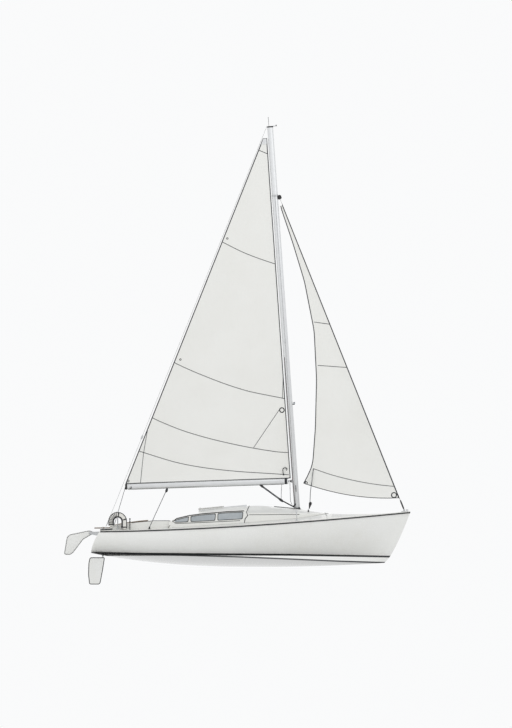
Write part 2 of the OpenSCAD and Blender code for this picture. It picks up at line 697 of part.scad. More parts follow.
boom_start = 60;         // from the hinge line to the boom's fore end
boom_dir = [-cos(boom_droop), 0, -sin(boom_droop)];
boom_up = [-sin(boom_droop), 0, cos(boom_droop)];
function on_boom(s, h) = pivot + s * boom_dir + h * boom_up;
module at_boom() {
    translate(pivot) rotate([0, -boom_droop, 0]) children();
}
cap_l = 45;
module boom() {
    color("lightgray") at_boom() translate([-boom_l + cap_l, 0, 0]) rotate([0, 90, 0])
        linear_extrude(boom_l - cap_l - boom_start) stadium(boom_h, boom_w);
}
module boom_end_cap() {
    color("black") at_boom() translate([-boom_l, 0, 0]) rotate([0, 90, 0])
        linear_extrude(cap_l - seat_gap) stadium(boom_h + 4, boom_w + 4);
}
module gooseneck_knuckle() {
    color("dimgray") difference() {
        union() {
            at_mast() translate([-hinge_back, 0, gooseneck_h])
                cylinder(r = knuckle_r, h = knuckle_h, center = true);
            at_boom() translate([-boom_start + seat_gap, -8, -18]) cube([boom_start - seat_gap, 16, 36]);
        }
        at_mast() translate([-hinge_back, 0, gooseneck_h])
            cylinder(r = gooseneck_pin_r + pin_gap, h = 3 * knuckle_h, center = true);
    }
}

// A sail is a sheet between its luff and its leech, hollowed to port
luff_back = 6;           // the luff's distance behind the hinge line
foot_lift = boom_h / 2 + 2 + seat_gap;
main_tack = on_boom(luff_back + 6, foot_lift);
main_clew = on_boom(boom_l - 12, foot_lift);
main_head = on_mast(-hinge_back - luff_back, 0, main_head_h);
main_peak = main_head - head_board_w * mast_fore;
function main_hollow(t) = main_camber * sin(180 * pow(t, 0.6));
function main_point(s, t, off) =
    let (a = mix(main_tack, main_head, t), b = mix(main_clew, main_peak, t))
    mix(a, b, s) + [0, norm(b - a) * main_hollow(t) * 4 * s * (1 - s) + off, 0];
main_rows = 14;
main_cols = 8;
module mainsail() {
    color("white") ring_loft([for (i = [0:main_rows]) let (t = i / main_rows)
        [for (j = [0:main_cols]) main_point(j / main_cols, t, -cloth_t / 2),
         for (j = [main_cols:-1:0]) main_point(j / main_cols, t, cloth_t / 2)]]);
}

// Forestay, from the bow fitting to the tang on the mast
stay_inset = 137;        // of the stay's foot behind the stem head
stay_foot_x = bow_x - stay_inset;
stay_foot_rise = 42;
stay_foot = [stay_foot_x, 0, deck_top(stay_foot_x, 0) + stay_foot_rise];
stay_head = on_mast(mast_chord / 2 + 17.5, 0, hounds_h);
stay_up = unit(stay_head - stay_foot);
stay_l = norm(stay_head - stay_foot);
tape_gap = 0.3;
tape_t = 3;
turnbuckle_r = 8;
eye_pin_r = 5;
module along_stay(from) {
    translate(stay_foot + from * stay_up)
        rotate([0, acos(stay_up[2]), atan2(stay_up[1], stay_up[0])]) children();
}
module forestay() {
    color("silver") difference() {
        union() {
            along_stay(0) cylinder(r = wire_r, h = stay_l);
            along_stay(-8) cylinder(r = turnbuckle_r, h = tack_h - 12);
        }
        translate(stay_foot) rotate([90, 0, 0]) cylinder(r = eye_pin_r + pin_gap, h = 40, center = true);
    }
}
module jib_luff_tape() {
    color("white") along_stay(tack_h) difference() {
        cylinder(r = wire_r + tape_gap + tape_t, h = jib_luff_l);
        translate([0, 0, -1]) cylinder(r = wire_r + tape_gap, h = jib_luff_l + 2);
    }
}

// Jib: the leech is hollow, as [share up the leech, distance forward of a straight line]
leech_hollow = [[0, 0], [0.035, 130], [0.07, 235], [0.2, 360], [0.375, 475], [0.55, 512],
    [0.73, 388], [0.87, 200], [1, 0]];
stay_back = [-stay_up[2], 0, stay_up[0]];
jib_luff_off = wire_r + tape_gap + tape_t + seat_gap;
jib_tack = stay_foot + (tack_h + 30) * stay_up + jib_luff_off * stay_back;
jib_head = jib_tack + (jib_luff_l - 60) * stay_up;
jib_clew = jib_tack + [-clew_back, 0, clew_rise];
jib_peak = jib_head + 45 * stay_back;
function jib_point(s, t, off) =
    let (a = mix(jib_tack, jib_head, t),
         b = mix(jib_clew, jib_peak, t) + [lookup(t, leech_hollow), 0, 0],
         bow = 4 * s * (1 - s))
    mix(a, b, s) + [0, norm(b - a) * jib_camber * sin(180 * pow(t, 0.6)) * bow + off,
        -foot_round * bow * pow(1 - t, 8)];
jib_rows = [0, 0.035, 0.07, 0.13, 0.2, 0.29, 0.375, 0.46, 0.55, 0.64, 0.73, 0.8, 0.87, 0.94, 1];
jib_cols = 7;
module jib() {
    color("white") ring_loft([for (t = jib_rows)
        [for (j = [0:jib_cols]) jib_point(j / jib_cols, t, -cloth_t / 2),
         for (j = [jib_cols:-1:0]) jib_point(j / jib_cols, t, cloth_t / 2)]]);
}

// Tangs on the mast for the forestay and the shrouds
tang_t = 5;
module hounds_fitting() {
    color("dimgray") at_mast() translate([0, 0, hounds_h]) difference() {
        union() {
            translate([0, 0, -24]) linear_extrude(48) offset_stadium(mast_chord, mast_w, tang_t);
            translate([mast_chord / 2, 0, 0]) rotate([0, 90, 0]) cylinder(r = 10, h = 14);
            for (s = [-1, 1])
                translate([0, s * (mast_w / 2 + 8), 0]) rotate([90, 0, 0])
                    cylinder(r = 10, h = 12, center = true);
        }
        translate([0, 0, -60]) linear_extrude(120) offset_stadium(mast_chord, mast_w, seat_gap);
    }
}

// Shrouds run over the spreaders' tips to the chainplates
chain_x = mast_reach - 6;
chain_inset = 62;
chain_y = half_beam(chain_x) - chain_inset;
eye_rise = 46;           // height of a chainplate's eye over the deck
tip_r = wire_r + 2.5;    // of the ball where a shroud passes its spreader
function spreader_tip(side) = on_mast(0, side * spreader_reach, spreader_h);
function shroud_head(side) = on_mast(0, side * (mast_w / 2 + 14 + wire_r + seat_gap), hounds_h);
function shroud_foot(side) = [chain_x, side * chain_y, deck_top(chain_x, chain_y) + eye_rise];
module shroud(side) {
    color("silver") {
        rod(shroud_head(side), spreader_tip(side), wire_r);
        rod(spreader_tip(side), shroud_foot(side), wire_r);
        translate(spreader_tip(side)) sphere(r = tip_r);
    }
}
module shroud_starboard() { shroud(-1); }
module shroud_port() { shroud(1); }

module spreaders() {
    tube_end = spreader_reach - tip_r - seat_gap;
    color("lightgray") for (s = [-1, 1])
        at_mast() translate([0, s * (mast_w / 2 + seat_gap), spreader_h])
            rotate([-s * 90, 0, 0]) cylinder(r = 12, h = tube_end - mast_w / 2 - seat_gap);
}

// Backstay: one wire that parts into two legs over the stern
back_inset = 123;        // of the backstay's feet forward of the transom's top
back_y = 600;
part_h = 2600;           // height over the water where it parts
back_x = stern_x + back_inset;
back_foot_z = deck_top(back_x, back_y) + eye_rise;
crane_h = mast_l + 24;
cap_rim = 4;             // of the masthead's plate round the mast
back_head = on_mast(-mast_chord / 2 - cap_rim - wire_r - 2 * seat_gap, 0, crane_h);
back_part = mix([back_x, 0, back_foot_z], back_head, (part_h - back_foot_z) / (back_head[2] - back_foot_z));
module backstay() {
    color("silver") {
        rod(back_head, back_part, wire_r);
        for (s = [-1, 1])
            rod(back_part, [back_x, s * back_y, back_foot_z], wire_r);
        translate(back_part) sphere(r = 12);
    }
}

module masthead_fitting() {
    color("dimgray") at_mast() {
        translate([0, 0, mast_l + seat_gap])
            linear_extrude(18) offset_stadium(mast_chord, mast_w, cap_rim);
        translate([-mast_chord / 2 - cap_rim, -8, mast_l + 18])
            cube([mast_chord + cap_rim + 90, 16, 12 - wire_r]);
        translate([mast_chord / 2 + 70, 0, mast_l + 18]) cylinder(r = 10, h = 30);
        translate([-mast_chord / 2 + 40, 0, mast_l + 18]) cylinder(r = 4, h = 200);
        translate([-mast_chord / 2 + 40, 0, mast_l + 218]) sphere(r = 8);
    }
}

// Square foot of a deck fitting: it follows the deck below and is flat on top
foot_gap = 0.5;
function foot_top(x, y, half) = deck_top(x + half, max(0, abs(y) - half)) + foot_gap + 5;
module deck_foot(x, y, half, gap = foot_gap) {
    top = foot_top(x, y, half);
    ring_loft([for (u = [x - half, x + half])
        [[u, y - half, deck_top(u, y - half) + gap], [u, y - half, top],
        [u, y + half, top], [u, y + half, deck_top(u, y + half) + gap]]]);
}

// Eye plates that hold the feet of the shrouds and of the backstay's legs
eye_plate_t = 8;
module chainplate(x, y, gap) {
    low = foot_top(x, y, 22) - 1;
    deck_foot(x, y, 22, gap);
    translate([x - 14, y - eye_plate_t / 2, low])
        cube([28, eye_plate_t, deck_top(x, y) + eye_rise - wire_r - seat_gap - low]);
}
module chainplates() {
    color("silver") for (s = [-1, 1]) {
        chainplate(chain_x, s * chain_y, 0.1);
        chainplate(back_x, s * back_y, foot_gap);
    }
}

// Bow fitting: cheeks with a pin for the forestay, and a mooring eye ahead of it
cheek_t = 6;
cheek_gap = 1;
bow_eye_r = 9;
bow_eye_t = 12;
bow_eye_x = stay_foot_x + 68;
bow_eye_rise = 38;
bow_base_fore = 90;      // of the fitting's base ahead of the stay
module bow_fitting() {
    x = stay_foot_x;
    z = deck_top(x + bow_base_fore, 0) + seat_gap + 1;
    half = turnbuckle_r + cheek_gap + cheek_t;
    inner = turnbuckle_r + cheek_gap;
    eye_z = deck_top(x, 0) + bow_eye_rise;
    color("silver") {
        for (s = [-1, 1])
            translate([x - 24, s * (inner + cheek_t / 2) - cheek_t / 2, z])
                cube([48, cheek_t, stay_foot[2] + 14 - z]);
        ring_loft([for (k = [0:3])
            let (u = mix(x - 60, x + bow_base_fore, k / 3), low = deck_top(u, 0) + 0.8)
            [[u, -half, low], [u, -half, z + 5], [u, half, z + 5], [u, half, low]]]);
        translate([x, 0, stay_foot[2]]) rotate([90, 0, 0])
            cylinder(r = eye_pin_r, h = 2 * half, center = true);
        difference() {
            translate([bow_eye_x - 24, -bow_eye_t / 2, z])
                cube([44, bow_eye_t, eye_z + 20 - z]);
            translate([bow_eye_x, 0, eye_z]) rotate([90, 0, 0])
                cylinder(r = bow_eye_r, h = 3 * bow_eye_t, center = true);
        }
    }
}

// Mooring eyes on the aft corners of the deck
stern_eye_y = 690;
stern_eye_x = stern_x + 52;
stern_eye_r = 8;
stern_eye_t = 10;
stern_eye_rise = 30;
module stern_eyes() {
    color("silver") for (s = [-1, 1]) {
        z = deck_top(stern_eye_x, stern_eye_y) + 1.2;
        translate([stern_eye_x, s * stern_eye_y, z]) difference() {
            translate([-20, -stern_eye_t / 2, 0]) cube([40, stern_eye_t, stern_eye_rise + 18]);
            translate([0, 0, stern_eye_rise]) rotate([90, 0, 0])
                cylinder(r = stern_eye_r, h = 3 * stern_eye_t, center = true);
        }
    }
}

// Track for the jib's sheet, across the roof ahead of the mast
track_x = mast_reach + 250;
track_half = 300;
track_w = 30;
track_h = 24;
module jib_track() {
    color("dimgray") ring_loft([for (i = [-6:6])
        let (y = i * track_half / 6, z = roof_z(track_x, y) + roof_gap + 2)
        [[track_x + track_w / 2, y, z], [track_x + track_w / 2, y, z + track_h],
         [track_x - track_w / 2, y, z + track_h], [track_x - track_w / 2, y, z]]]);
}

// Horseshoe buoy on the starboard quarter: an arch and two legs of unequal length
buoy_x = -2916;
peg_r = 10;
bracket_r = 16;
bracket_y = -(tub_half + roof_gap + coaming_w + bracket_r + 1);
buoy_y = bracket_y - peg_r - 3 - buoy_t / 2;
buoy_r = buoy_w / 2;
buoy_arm = (buoy_w - buoy_gap) / 2;
buoy_foot_z = deck_top(buoy_x, abs(buoy_y)) + 8;
buoy_arch_z = buoy_foot_z + buoy_h - buoy_r;
aft_leg_cut = 70;        // the aft leg is this much shorter
module buoy_section() {
    translate([buoy_r - buoy_arm / 2, 0]) circle(d = min(buoy_arm, buoy_t));
    translate([buoy_r - buoy_arm / 2, 0]) square([buoy_arm - 30, buoy_t], center = true);
    translate([buoy_r - buoy_arm / 2, 0]) square([buoy_arm, buoy_t - 30], center = true);
}
module horseshoe_buoy() {
    color("gold") translate([buoy_x, buoy_y, buoy_arch_z]) rotate([90, 0, 0]) {
        rotate_extrude(angle = 180) buoy_section();
        for (s = [-1, 1])
            translate([s * (buoy_r - buoy_arm / 2), 0, 0]) {
                l = buoy_arch_z - buoy_foot_z - (s < 0 ? aft_leg_cut : 0);
                translate([0, -l / 2, 0]) cube([buoy_arm - 30, l, buoy_t], center = true);
                translate([0, -l / 2, 0]) cube([buoy_arm, l, buoy_t - 30], center = true);
            }
    }
}

// Post beside the buoy with a peg from which it hangs
module buoy_bracket() {
    y = bracket_y;
    top = buoy_arch_z + buoy_gap / 2 - peg_r - seat_gap;
    low = foot_top(buoy_x, y, bracket_r) - 1;
    color("silver") {
        deck_foot(buoy_x, y, bracket_r);
        translate([buoy_x, y, low]) cylinder(r = peg_r, h = top - low);
        translate([buoy_x, y, top]) sphere(r = peg_r);
        translate([buoy_x, y, top]) rotate([90, 0, 0])
            cylinder(r = peg_r, h = buoy_t + peg_r + 8);
    }
}

// Post on the starboard side deck with two knobs
post_x = -2650;
post_y = -(tub_half + coaming_w + 70);
post_h = 225;
post_foot = 18;
module stern_post() {
    z = foot_top(post_x, post_y, post_foot) - 1;
    color("dimgray") {
        deck_foot(post_x, post_y, post_foot);
        translate([post_x, post_y, z]) {
            cylinder(r = 9, h = post_h);
            translate([0, 0, post_h]) sphere(r = 17);
            translate([0, 0, post_h - 62]) sphere(r = 17);
        }
    }
}

// Rudder tube through the hull and the aft deck
tube_top = deck_top(stock_x, 0) + 6;
module rudder_tube() {
    low = keel_z(stock_x - tube_r) + shell_t + 5;
    color("silver") translate([stock_x, 0, low]) difference() {
        cylinder(r = tube_r, h = tube_top - low);
        translate([0, 0, -1]) cylinder(r = stock_r + stock_gap, h = tube_top - low + 2);
    }
}

// Main rudder: a blade under the hull on a stock; the outline is drawn from the stock
// axis and the blade's top, as [aft, down]
blade_outline = [[-40, 20], [-30, 0], [262, 0], [291, 18], [314, 130], [322, 375],
    [300, 575], [272, 592], [84, 592], [54, 560], [0, 270]];
head_h = 42;
stock_bury = 100;        // of the stock inside the blade
module rudder_blade() {
    k = blade_h / 592;
    color("white") {
        translate([stock_x, blade_t / 2, -blade_top]) rotate([90, 0, 0]) linear_extrude(blade_t)
            polygon([for (q = blade_outline) [-q[0], -k * q[1]]]);
        translate([stock_x, 0, -blade_top - stock_bury])
            cylinder(r = stock_r, h = tube_top + 1 + head_h + blade_top + stock_bury);
    }
}

// Tiller: a head clamped on the stock, with a tail aft of the transom, and an arm
tiller_z = tube_top + 1;
// [distance forward of the stock, height over the tube, half width]
tiller_line = [[-186, 2, 10], [-150, 2, 12], [0, 4, 14], [132, 6, 14], [226, 56, 16],
    [420, 100, 18], [tiller_l - 200, 150, 16], [tiller_l, 168, 13]];
module tiller() {
    t = 26;
    color("peru") difference() {
        union() {
            translate([stock_x, 0, tiller_z]) cylinder(r = stock_r + 18, h = head_h - 6);
            ring_loft([for (q = tiller_line)
                let (x = stock_x + q[0], z = tiller_z + q[1], w = q[2])
                [[x, -w, z], [x, -w, z + t], [x, w, z + t], [x, w, z]]]);
        }
        translate([stock_x, 0, tiller_z - 1]) cylinder(r = stock_r + seat_gap, h = 100);
    }
}

// Lifting rudder: a kick-up blade on a bracket at the transom, drawn up out of the water
lift_x = -3520;
lift_z = freeboard_aft - 42;
lift_pin_r = 10;
lifting_outline = [[58, 34], [-20, 52], [-430, -32], [-478, -60], [-508, -100], [-566, -446],
    [-550, -474], [-440, -480], [-372, -434], [-150, -142], [48, -26]];
module lifting_rudder_blade() {
    color("white") difference() {
        translate([lift_x, lifting_offset + lifting_t / 2, lift_z]) rotate([90, 0, 0])
            linear_extrude(lifting_t) union() {
                polygon(lifting_outline);
                circle(r = 52);
            }
        translate([lift_x, lifting_offset, lift_z]) rotate([90, 0, 0])
            cylinder(r = lift_pin_r + pin_gap, h = 3 * lifting_t, center = true);
    }
}
module lifting_rudder_bracket() {
    t = 8;
    v0 = (lift_z - 60 - keel_z(foot_x)) / (freeboard_aft - keel_z(foot_x));
    v1 = (lift_z + 30 - keel_z(foot_x)) / (freeboard_aft - keel_z(foot_x));
    inner = lifting_t / 2 + swing_gap - 1;
    color("silver") {
        for (s = [-1, 1])
            plate_xz(t, lifting_offset + s * (inner + t / 2)) polygon([
                [transom_at(v0) + seat_gap, lift_z - 60], [transom_at(v1) + seat_gap, lift_z + 30],
                [lift_x - 24, lift_z + 24], [lift_x - 24, lift_z - 24]]);
        translate([lift_x, lifting_offset, lift_z]) rotate([90, 0, 0])
            cylinder(r = lift_pin_r, h = 2 * (inner + t), center = true);
    }
}

hull_moulding();
deck_moulding();
rubbing_strakes();
coachroof();
windows_starboard();
windows_port();
cabin_bulkhead();
washboards();
cockpit_tub();
coaming_starboard();
coaming_port();
cabin_liner();
centreboard_case();
hatch_rails();
mast();
mast_step();
gooseneck_bracket();
spreaders();
masthead_fitting();
hounds_fitting();
forestay();
backstay();
shroud_starboard();
shroud_port();
chainplates();
bow_fitting();
stern_eyes();
jib_track();
horseshoe_buoy();
buoy_bracket();
stern_post();
rudder_tube();
lifting_rudder_bracket();
rudder_blade();
tiller();
lifting_rudder_blade();
boom();
gooseneck_knuckle();
boom_end_cap();
mainsail();
jib();
jib_luff_tape();
sliding_hatch();
centreboard();
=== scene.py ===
# Small cabin sailing boat afloat: its looks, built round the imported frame.
# Metres, X forward, Y to port, Z up, with the waterline at Z = 0.
import bpy
import numpy as np
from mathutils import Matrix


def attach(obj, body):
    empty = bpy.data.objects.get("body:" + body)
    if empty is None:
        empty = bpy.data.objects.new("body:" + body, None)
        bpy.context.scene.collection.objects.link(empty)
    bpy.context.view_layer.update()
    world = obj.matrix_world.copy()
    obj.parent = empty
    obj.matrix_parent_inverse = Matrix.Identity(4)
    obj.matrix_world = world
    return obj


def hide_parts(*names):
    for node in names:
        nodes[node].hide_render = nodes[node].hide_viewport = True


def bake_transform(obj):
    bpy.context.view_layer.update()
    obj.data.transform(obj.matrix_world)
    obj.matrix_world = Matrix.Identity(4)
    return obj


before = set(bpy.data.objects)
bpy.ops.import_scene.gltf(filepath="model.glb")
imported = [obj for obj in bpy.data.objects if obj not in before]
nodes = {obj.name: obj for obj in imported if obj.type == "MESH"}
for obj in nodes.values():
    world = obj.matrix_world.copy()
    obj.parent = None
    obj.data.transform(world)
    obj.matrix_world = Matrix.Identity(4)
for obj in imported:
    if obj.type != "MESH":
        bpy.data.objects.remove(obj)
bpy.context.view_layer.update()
scene = bpy.context.scene
print("frame loaded with", len(nodes), "nodes")

# Camera: straight from starboard
cameraView = {"centreX": 0.109, "centreZ": 4.2, "distance": 40.0, "height": 15.925}


def makeCamera(view):
    data = bpy.data.cameras.new("camera")
    data.type = "ORTHO"
    data.ortho_scale = view["height"]
    data.clip_end = 4 * view["distance"]
    camera = bpy.data.objects.new("camera", data)
    camera.location = (view["centreX"], -view["distance"], view["centreZ"])
    camera.rotation_euler = (np.pi / 2, 0, 0)
    scene.collection.objects.link(camera)
    scene.camera = camera


makeCamera(cameraView)


# Small sums. mix goes from a to b as k goes from 0 to 1
def mix(a, b, k):
    return a + (b - a) * k


def unit(vectors):
    return vectors / np.maximum(np.linalg.norm(vectors, axis=-1, keepdims=True), 1e-12)


def point(x, y, z):
    # stacks three arrays of one shape as points
    return np.stack(np.broadcast_arrays(x, y, z), axis=-1).astype(float)


def signedVolume(points, faces):
    # a sixth of the sum, over fans of triangles, of one corner's dot with the cross of the rest
    total = 0.0
    for group in faces:
        for k in range(1, group.shape[1] - 1):
            a, b, c = points[group[:, 0]], points[group[:, k]], points[group[:, k + 1]]
            total += np.einsum("ij,ij->i", a, np.cross(b, c)).sum()
    return total / 6


def facingOut(points, faces):
    # a closed solid with its faces outwards
    points = np.asarray(points, float).reshape(-1, 3)
    faces = [np.asarray(group, int) for group in faces if len(group)]
    if signedVolume(points - points.mean(axis=0), faces) < 0:
        faces = [group[:, ::-1] for group in faces]
    return points, faces


def makePiece(name, points, faces, material, sharp=40):
    # one object from points and groups of faces
    points, faces = facingOut(points, faces)
    mesh = bpy.data.meshes.new(name)
    mesh.from_pydata(points.tolist(), [], [face for group in faces for face in group.tolist()])
    mesh.polygons.foreach_set("use_smooth", np.ones(len(mesh.polygons), bool))
    mesh.update()
    mesh.set_sharp_from_angle(angle=np.radians(sharp))
    mesh.materials.append(material)
    piece = bpy.data.objects.new(name, mesh)
    scene.collection.objects.link(piece)
    return piece


def makeSolids(name, parts, material, sharp=40):
    # one object from several closed solids
    points, faces, base = [], [], 0
    for part in parts:
        partPoints, partFaces = facingOut(*part)
        points.append(partPoints)
        faces += [group + base for group in partFaces]
        base += len(partPoints)
    return makePiece(name, np.concatenate(points), faces, material, sharp)


def gridFaces(shape, keep=None, wrap=False):
    # four corners of every cell of a grid of points, kept where keep says so
    index = np.arange(shape[0] * shape[1]).reshape(shape)
    if wrap:
        index = np.concatenate([index, index[:, :1]], axis=1)
    cells = np.stack([index[:-1, :-1], index[1:, :-1], index[1:, 1:], index[:-1, 1:]], axis=-1)
    return cells.reshape(-1, 4) if keep is None else cells[keep]


def dropUnused(points, faces):
    # leaves out the points that no face uses
    used = np.zeros(len(points), bool)
    for group in faces:
        used[group.ravel()] = True
    renumber = np.cumsum(used) - 1
    return points[used], [renumber[group] for group in faces]


def slabMesh(outer, inner, keep=None, caps=()):
    # closed wall between two grids: both faces, any caps, and a strip along each free edge,
    # which only one face uses
    count = outer.shape[0] * outer.shape[1]
    groups = [gridFaces(outer.shape[:2], keep), *caps]
    start = np.concatenate([group.ravel() for group in groups])
    end = np.concatenate([np.roll(group, -1, axis=1).ravel() for group in groups])
    alone = ~np.isin(start * count + end, end * count + start)
    start, end = start[alone], end[alone]
    strip = np.stack([end, start, start + count, end + count], axis=-1)
    points = np.concatenate([outer.reshape(-1, 3), inner.reshape(-1, 3)])
    return dropUnused(points, groups + [group[:, ::-1] + count for group in groups] + [strip])


def loftMesh(rings):
    # solid through closed rings of equally many points, with a flat face at each end
    rows, around = rings.shape[:2]
    ends = np.arange(around)
    return rings.reshape(-1, 3), [gridFaces((rows, around), wrap=True),
                                  ends[None, :], (rows - 1) * around + ends[None, ::-1]]


def hoopMesh(rings):
    # solid through closed rings, where the last ring joins the first
    rows, around = rings.shape[:2]
    return rings.reshape(-1, 3), [gridFaces((rows + 1, around), wrap=True) % (rows * around)]


def curveThrough(points, count):
    # smooth curve through the points: each stretch is the cubic whose slope at a point is
    # half the step from the point before to the point after
    p = np.asarray(points, float)
    p = np.concatenate([2 * p[:1] - p[1:2], p, 2 * p[-1:] - p[-2:-1]])
    along = np.linspace(0, len(p) - 3 - 1e-9, count)
    i = along.astype(int)
    k = (along - i)[:, None]
    a, b, c, d = p[i], p[i + 1], p[i + 2], p[i + 3]
    return b + 0.5 * k * (c - a + k * (2 * a - 5 * b + 4 * c - d + k * (3 * (b - c) + d - a)))


def sweepMesh(path, profile, scale=1.0, reference=(0.0, 1.0, 0.0)):
    # a closed profile carried along a path, square to it; its first axis is nearest
    # to the reference direction
    path = np.asarray(path, float)
    tangent = unit(np.gradient(path, axis=0))
    across = unit(np.cross(tangent, np.cross(np.asarray(reference, float), tangent)))
    up = np.cross(tangent, across)
    grow = np.broadcast_to(np.asarray(scale, float), len(path))[:, None, None]
    profile = np.asarray(profile, float)
    rings = path[:, None] + grow * (across[:, None] * profile[None, :, :1]
                                    + up[:, None] * profile[None, :, 1:])
    return loftMesh(rings)


def circle(radius, count=16):
    # points round a circle
    angle = np.linspace(0, 2 * np.pi, count, endpoint=False)
    return radius * np.stack([np.cos(angle), np.sin(angle)], axis=-1)


def roundedBox2d(width, height, radius, perCorner=4):
    # outline of a rectangle with round corners, about its middle
    turn = np.linspace(0, np.pi / 2, perCorner)
    corner = np.array([[1, 1], [-1, 1], [-1, -1], [1, -1]])
    start = np.arange(4)[:, None] * np.pi / 2 + turn[None]
    middle = corner * (np.array([width, height]) / 2 - radius)
    return (middle[:, None] + radius * np.stack([np.cos(start), np.sin(start)], -1)).reshape(-1, 2)


def rodMesh(a, b, radius, sides=12, rounding=0.3):
    # straight rod whose ends are eased by a share of its radius
    a, b = np.asarray(a, float), np.asarray(b, float)
    length = np.linalg.norm(b - a)
    ease = min(rounding * radius, 0.2 * length)
    along = np.array([0, 0.35 * ease, ease, length - ease, length - 0.35 * ease, length]) / length
    scale = np.array([1 - rounding, 1 - 0.3 * rounding, 1, 1, 1 - 0.3 * rounding, 1 - rounding])
    reference = (0, 1, 0) if abs(b - a)[1] < 0.9 * length else (1, 0, 0)
    return sweepMesh(a + (b - a) * along[:, None], circle(radius, sides), scale, reference)


def ropeMesh(points, radius, count=60, sides=10, reference=(0, 1, 0)):
    return sweepMesh(curveThrough(points, count), circle(radius, sides), 1.0, reference)


def spunRings(profile, origin, axis, sides=24):
    # a profile of [distance from the axis, height] turned round an axis
    profile, axis = np.asarray(profile, float), unit(np.asarray(axis, float))
    first = unit(np.cross(axis, (0.31, 0.72, 0.53)))
    turn = circle(1.0, sides)
    around = turn[:, :1] * first + turn[:, 1:] * np.cross(axis, first)
    return (np.asarray(origin, float) + profile[:, None, 1:] * axis
            + profile[:, None, :1] * around[None])


def spunMesh(profile, origin, axis, sides=24):
    return loftMesh(spunRings(profile, origin, axis, sides))


def inwardOf(outline):
    # directions into a closed outline, at its points
    ahead, behind = np.roll(outline, -1, axis=0), np.roll(outline, 1, axis=0)
    tangent = unit(ahead - behind)
    area = np.sum(outline[:, 0] * ahead[:, 1] - ahead[:, 0] * outline[:, 1])
    return np.stack([-tangent[:, 1], tangent[:, 0]], axis=-1) * np.sign(area)


def plateMesh(outline, low, high, edge, steps=3):
    # outline in X and Z carried along Y from low to high, its two rims rounded by edge:
    # each ring steps in by edge(1 - sin a) as it goes out by edge(1 - cos a)
    outline = np.asarray(outline, float)
    angle = np.linspace(0, np.pi / 2, steps)
    inset, out = edge * (1 - np.sin(angle)), edge * (1 - np.cos(angle))
    insets = np.concatenate([inset, inset[::-1]])
    places = np.concatenate([low + out, high - out[::-1]])
    flat = outline[None] + insets[:, None, None] * inwardOf(outline)[None]
    return loftMesh(point(flat[..., 0], places[:, None], flat[..., 1]))


def tilted(part, origin, tilt):
    # a part turned about Y by tilt degrees, then moved to origin
    points, faces = part
    t = np.radians(tilt)
    about = np.array([[np.cos(t), 0, np.sin(t)], [0, 1, 0], [-np.sin(t), 0, np.cos(t)]])
    return points @ about.T + np.asarray(origin, float), faces


def boxMesh(size, centre, edge=0.003):
    # box with rounded rims and corners
    outline = roundedBox2d(size[0], size[2], min(2 * edge, 0.4 * min(size[0], size[2])))
    points, faces = plateMesh(outline, -size[1] / 2, size[1] / 2, edge)
    return points + np.asarray(centre, float), faces


def roundedOutline(corners, radii, perCorner=6):
    # closed outline with every corner cut back by its radius and bridged by a parabola
    corners = np.asarray(corners, float)
    radii = np.broadcast_to(np.asarray(radii, float), len(corners))[:, None]
    before, after = np.roll(corners, 1, axis=0), np.roll(corners, -1, axis=0)
    reachBack = np.minimum(radii, 0.45 * np.linalg.norm(before - corners, axis=1, keepdims=True))
    reachOn = np.minimum(radii, 0.45 * np.linalg.norm(after - corners, axis=1, keepdims=True))
    a = corners + unit(before - corners) * reachBack
    b = corners + unit(after - corners) * reachOn
    k = np.linspace(0, 1, perCorner)[None, :, None]
    bend = (1 - k) ** 2 * a[:, None] + 2 * k * (1 - k) * corners[:, None] + k ** 2 * b[:, None]
    return bend.reshape(-1, 2)


def place(piece, body, replaced=()):
    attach(piece, body)
    if replaced:
        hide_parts(*replaced)
    return piece


def build(name, parts, material, sharp, body, replaced=()):
    return place(makeSolids(name, parts, material, sharp), body, replaced)


# Materials. Each is a base shader, with noise for colour, gloss and relief at its own scale
def newMaterial(name, **sockets):
    material = bpy.data.materials.new(name)
    material.use_nodes = True
    shader = material.node_tree.nodes["Principled BSDF"]
    for socket, value in sockets.items():
        shader.inputs[socket.replace("_", " ")].default_value = value
    return material.node_tree, (material, shader)


def addNode(tree, kind, inputs=(), **settings):
    # inputs maps a socket's name or place to another node's socket or to a value
    made = tree.nodes.new("ShaderNode" + kind)
    for key, value in settings.items():
        setattr(made, key, value)
    for key, value in dict(inputs).items():
        if isinstance(value, bpy.types.NodeSocket):
            tree.links.new(value, made.inputs[key])
        else:
            made.inputs[key].default_value = value
    return made


def placed(tree, scale=(1, 1, 1), turnY=0.0):
    # object coordinates, stretched and turned
    source = addNode(tree, "TexCoord").outputs["Object"]
    return addNode(tree, "Mapping", {"Vector": source, "Scale": scale,
                                     "Rotation": (0, np.radians(turnY), 0)}).outputs[0]


def noise(tree, where, scale, detail=4.0, rough=0.55, twist=0.0):
    return addNode(tree, "TexNoise", {"Vector": where, "Scale": scale, "Detail": detail,
                                      "Roughness": rough, "Distortion": twist}).outputs["Fac"]


def bands(tree, where, scale, direction="X", **inputs):
    return addNode(tree, "TexWave", {"Vector": where, "Scale": scale, **inputs},
                   wave_type="BANDS", bands_direction=direction).outputs["Fac"]


def cells(tree, where, scale):
    return addNode(tree, "TexVoronoi", {"Vector": where, "Scale": scale}).outputs["Distance"]


def ranged(tree, value, low, high, toLow, toHigh):
    return addNode(tree, "MapRange", {"Value": value, "From Min": low, "From Max": high,
                                      "To Min": toLow, "To Max": toHigh}).outputs[0]


def sums(tree, operation, a, b=0.0, c=0.0):
    return addNode(tree, "Math", {0: a, 1: b, 2: c}, operation=operation).outputs[0]


def blended(tree, factor, a, b):
    a, b = (v if isinstance(v, bpy.types.NodeSocket) else (*v, 1.0) for v in (a, b))
    return addNode(tree, "Mix", {0: factor, 6: a, 7: b}, data_type="RGBA").outputs[2]


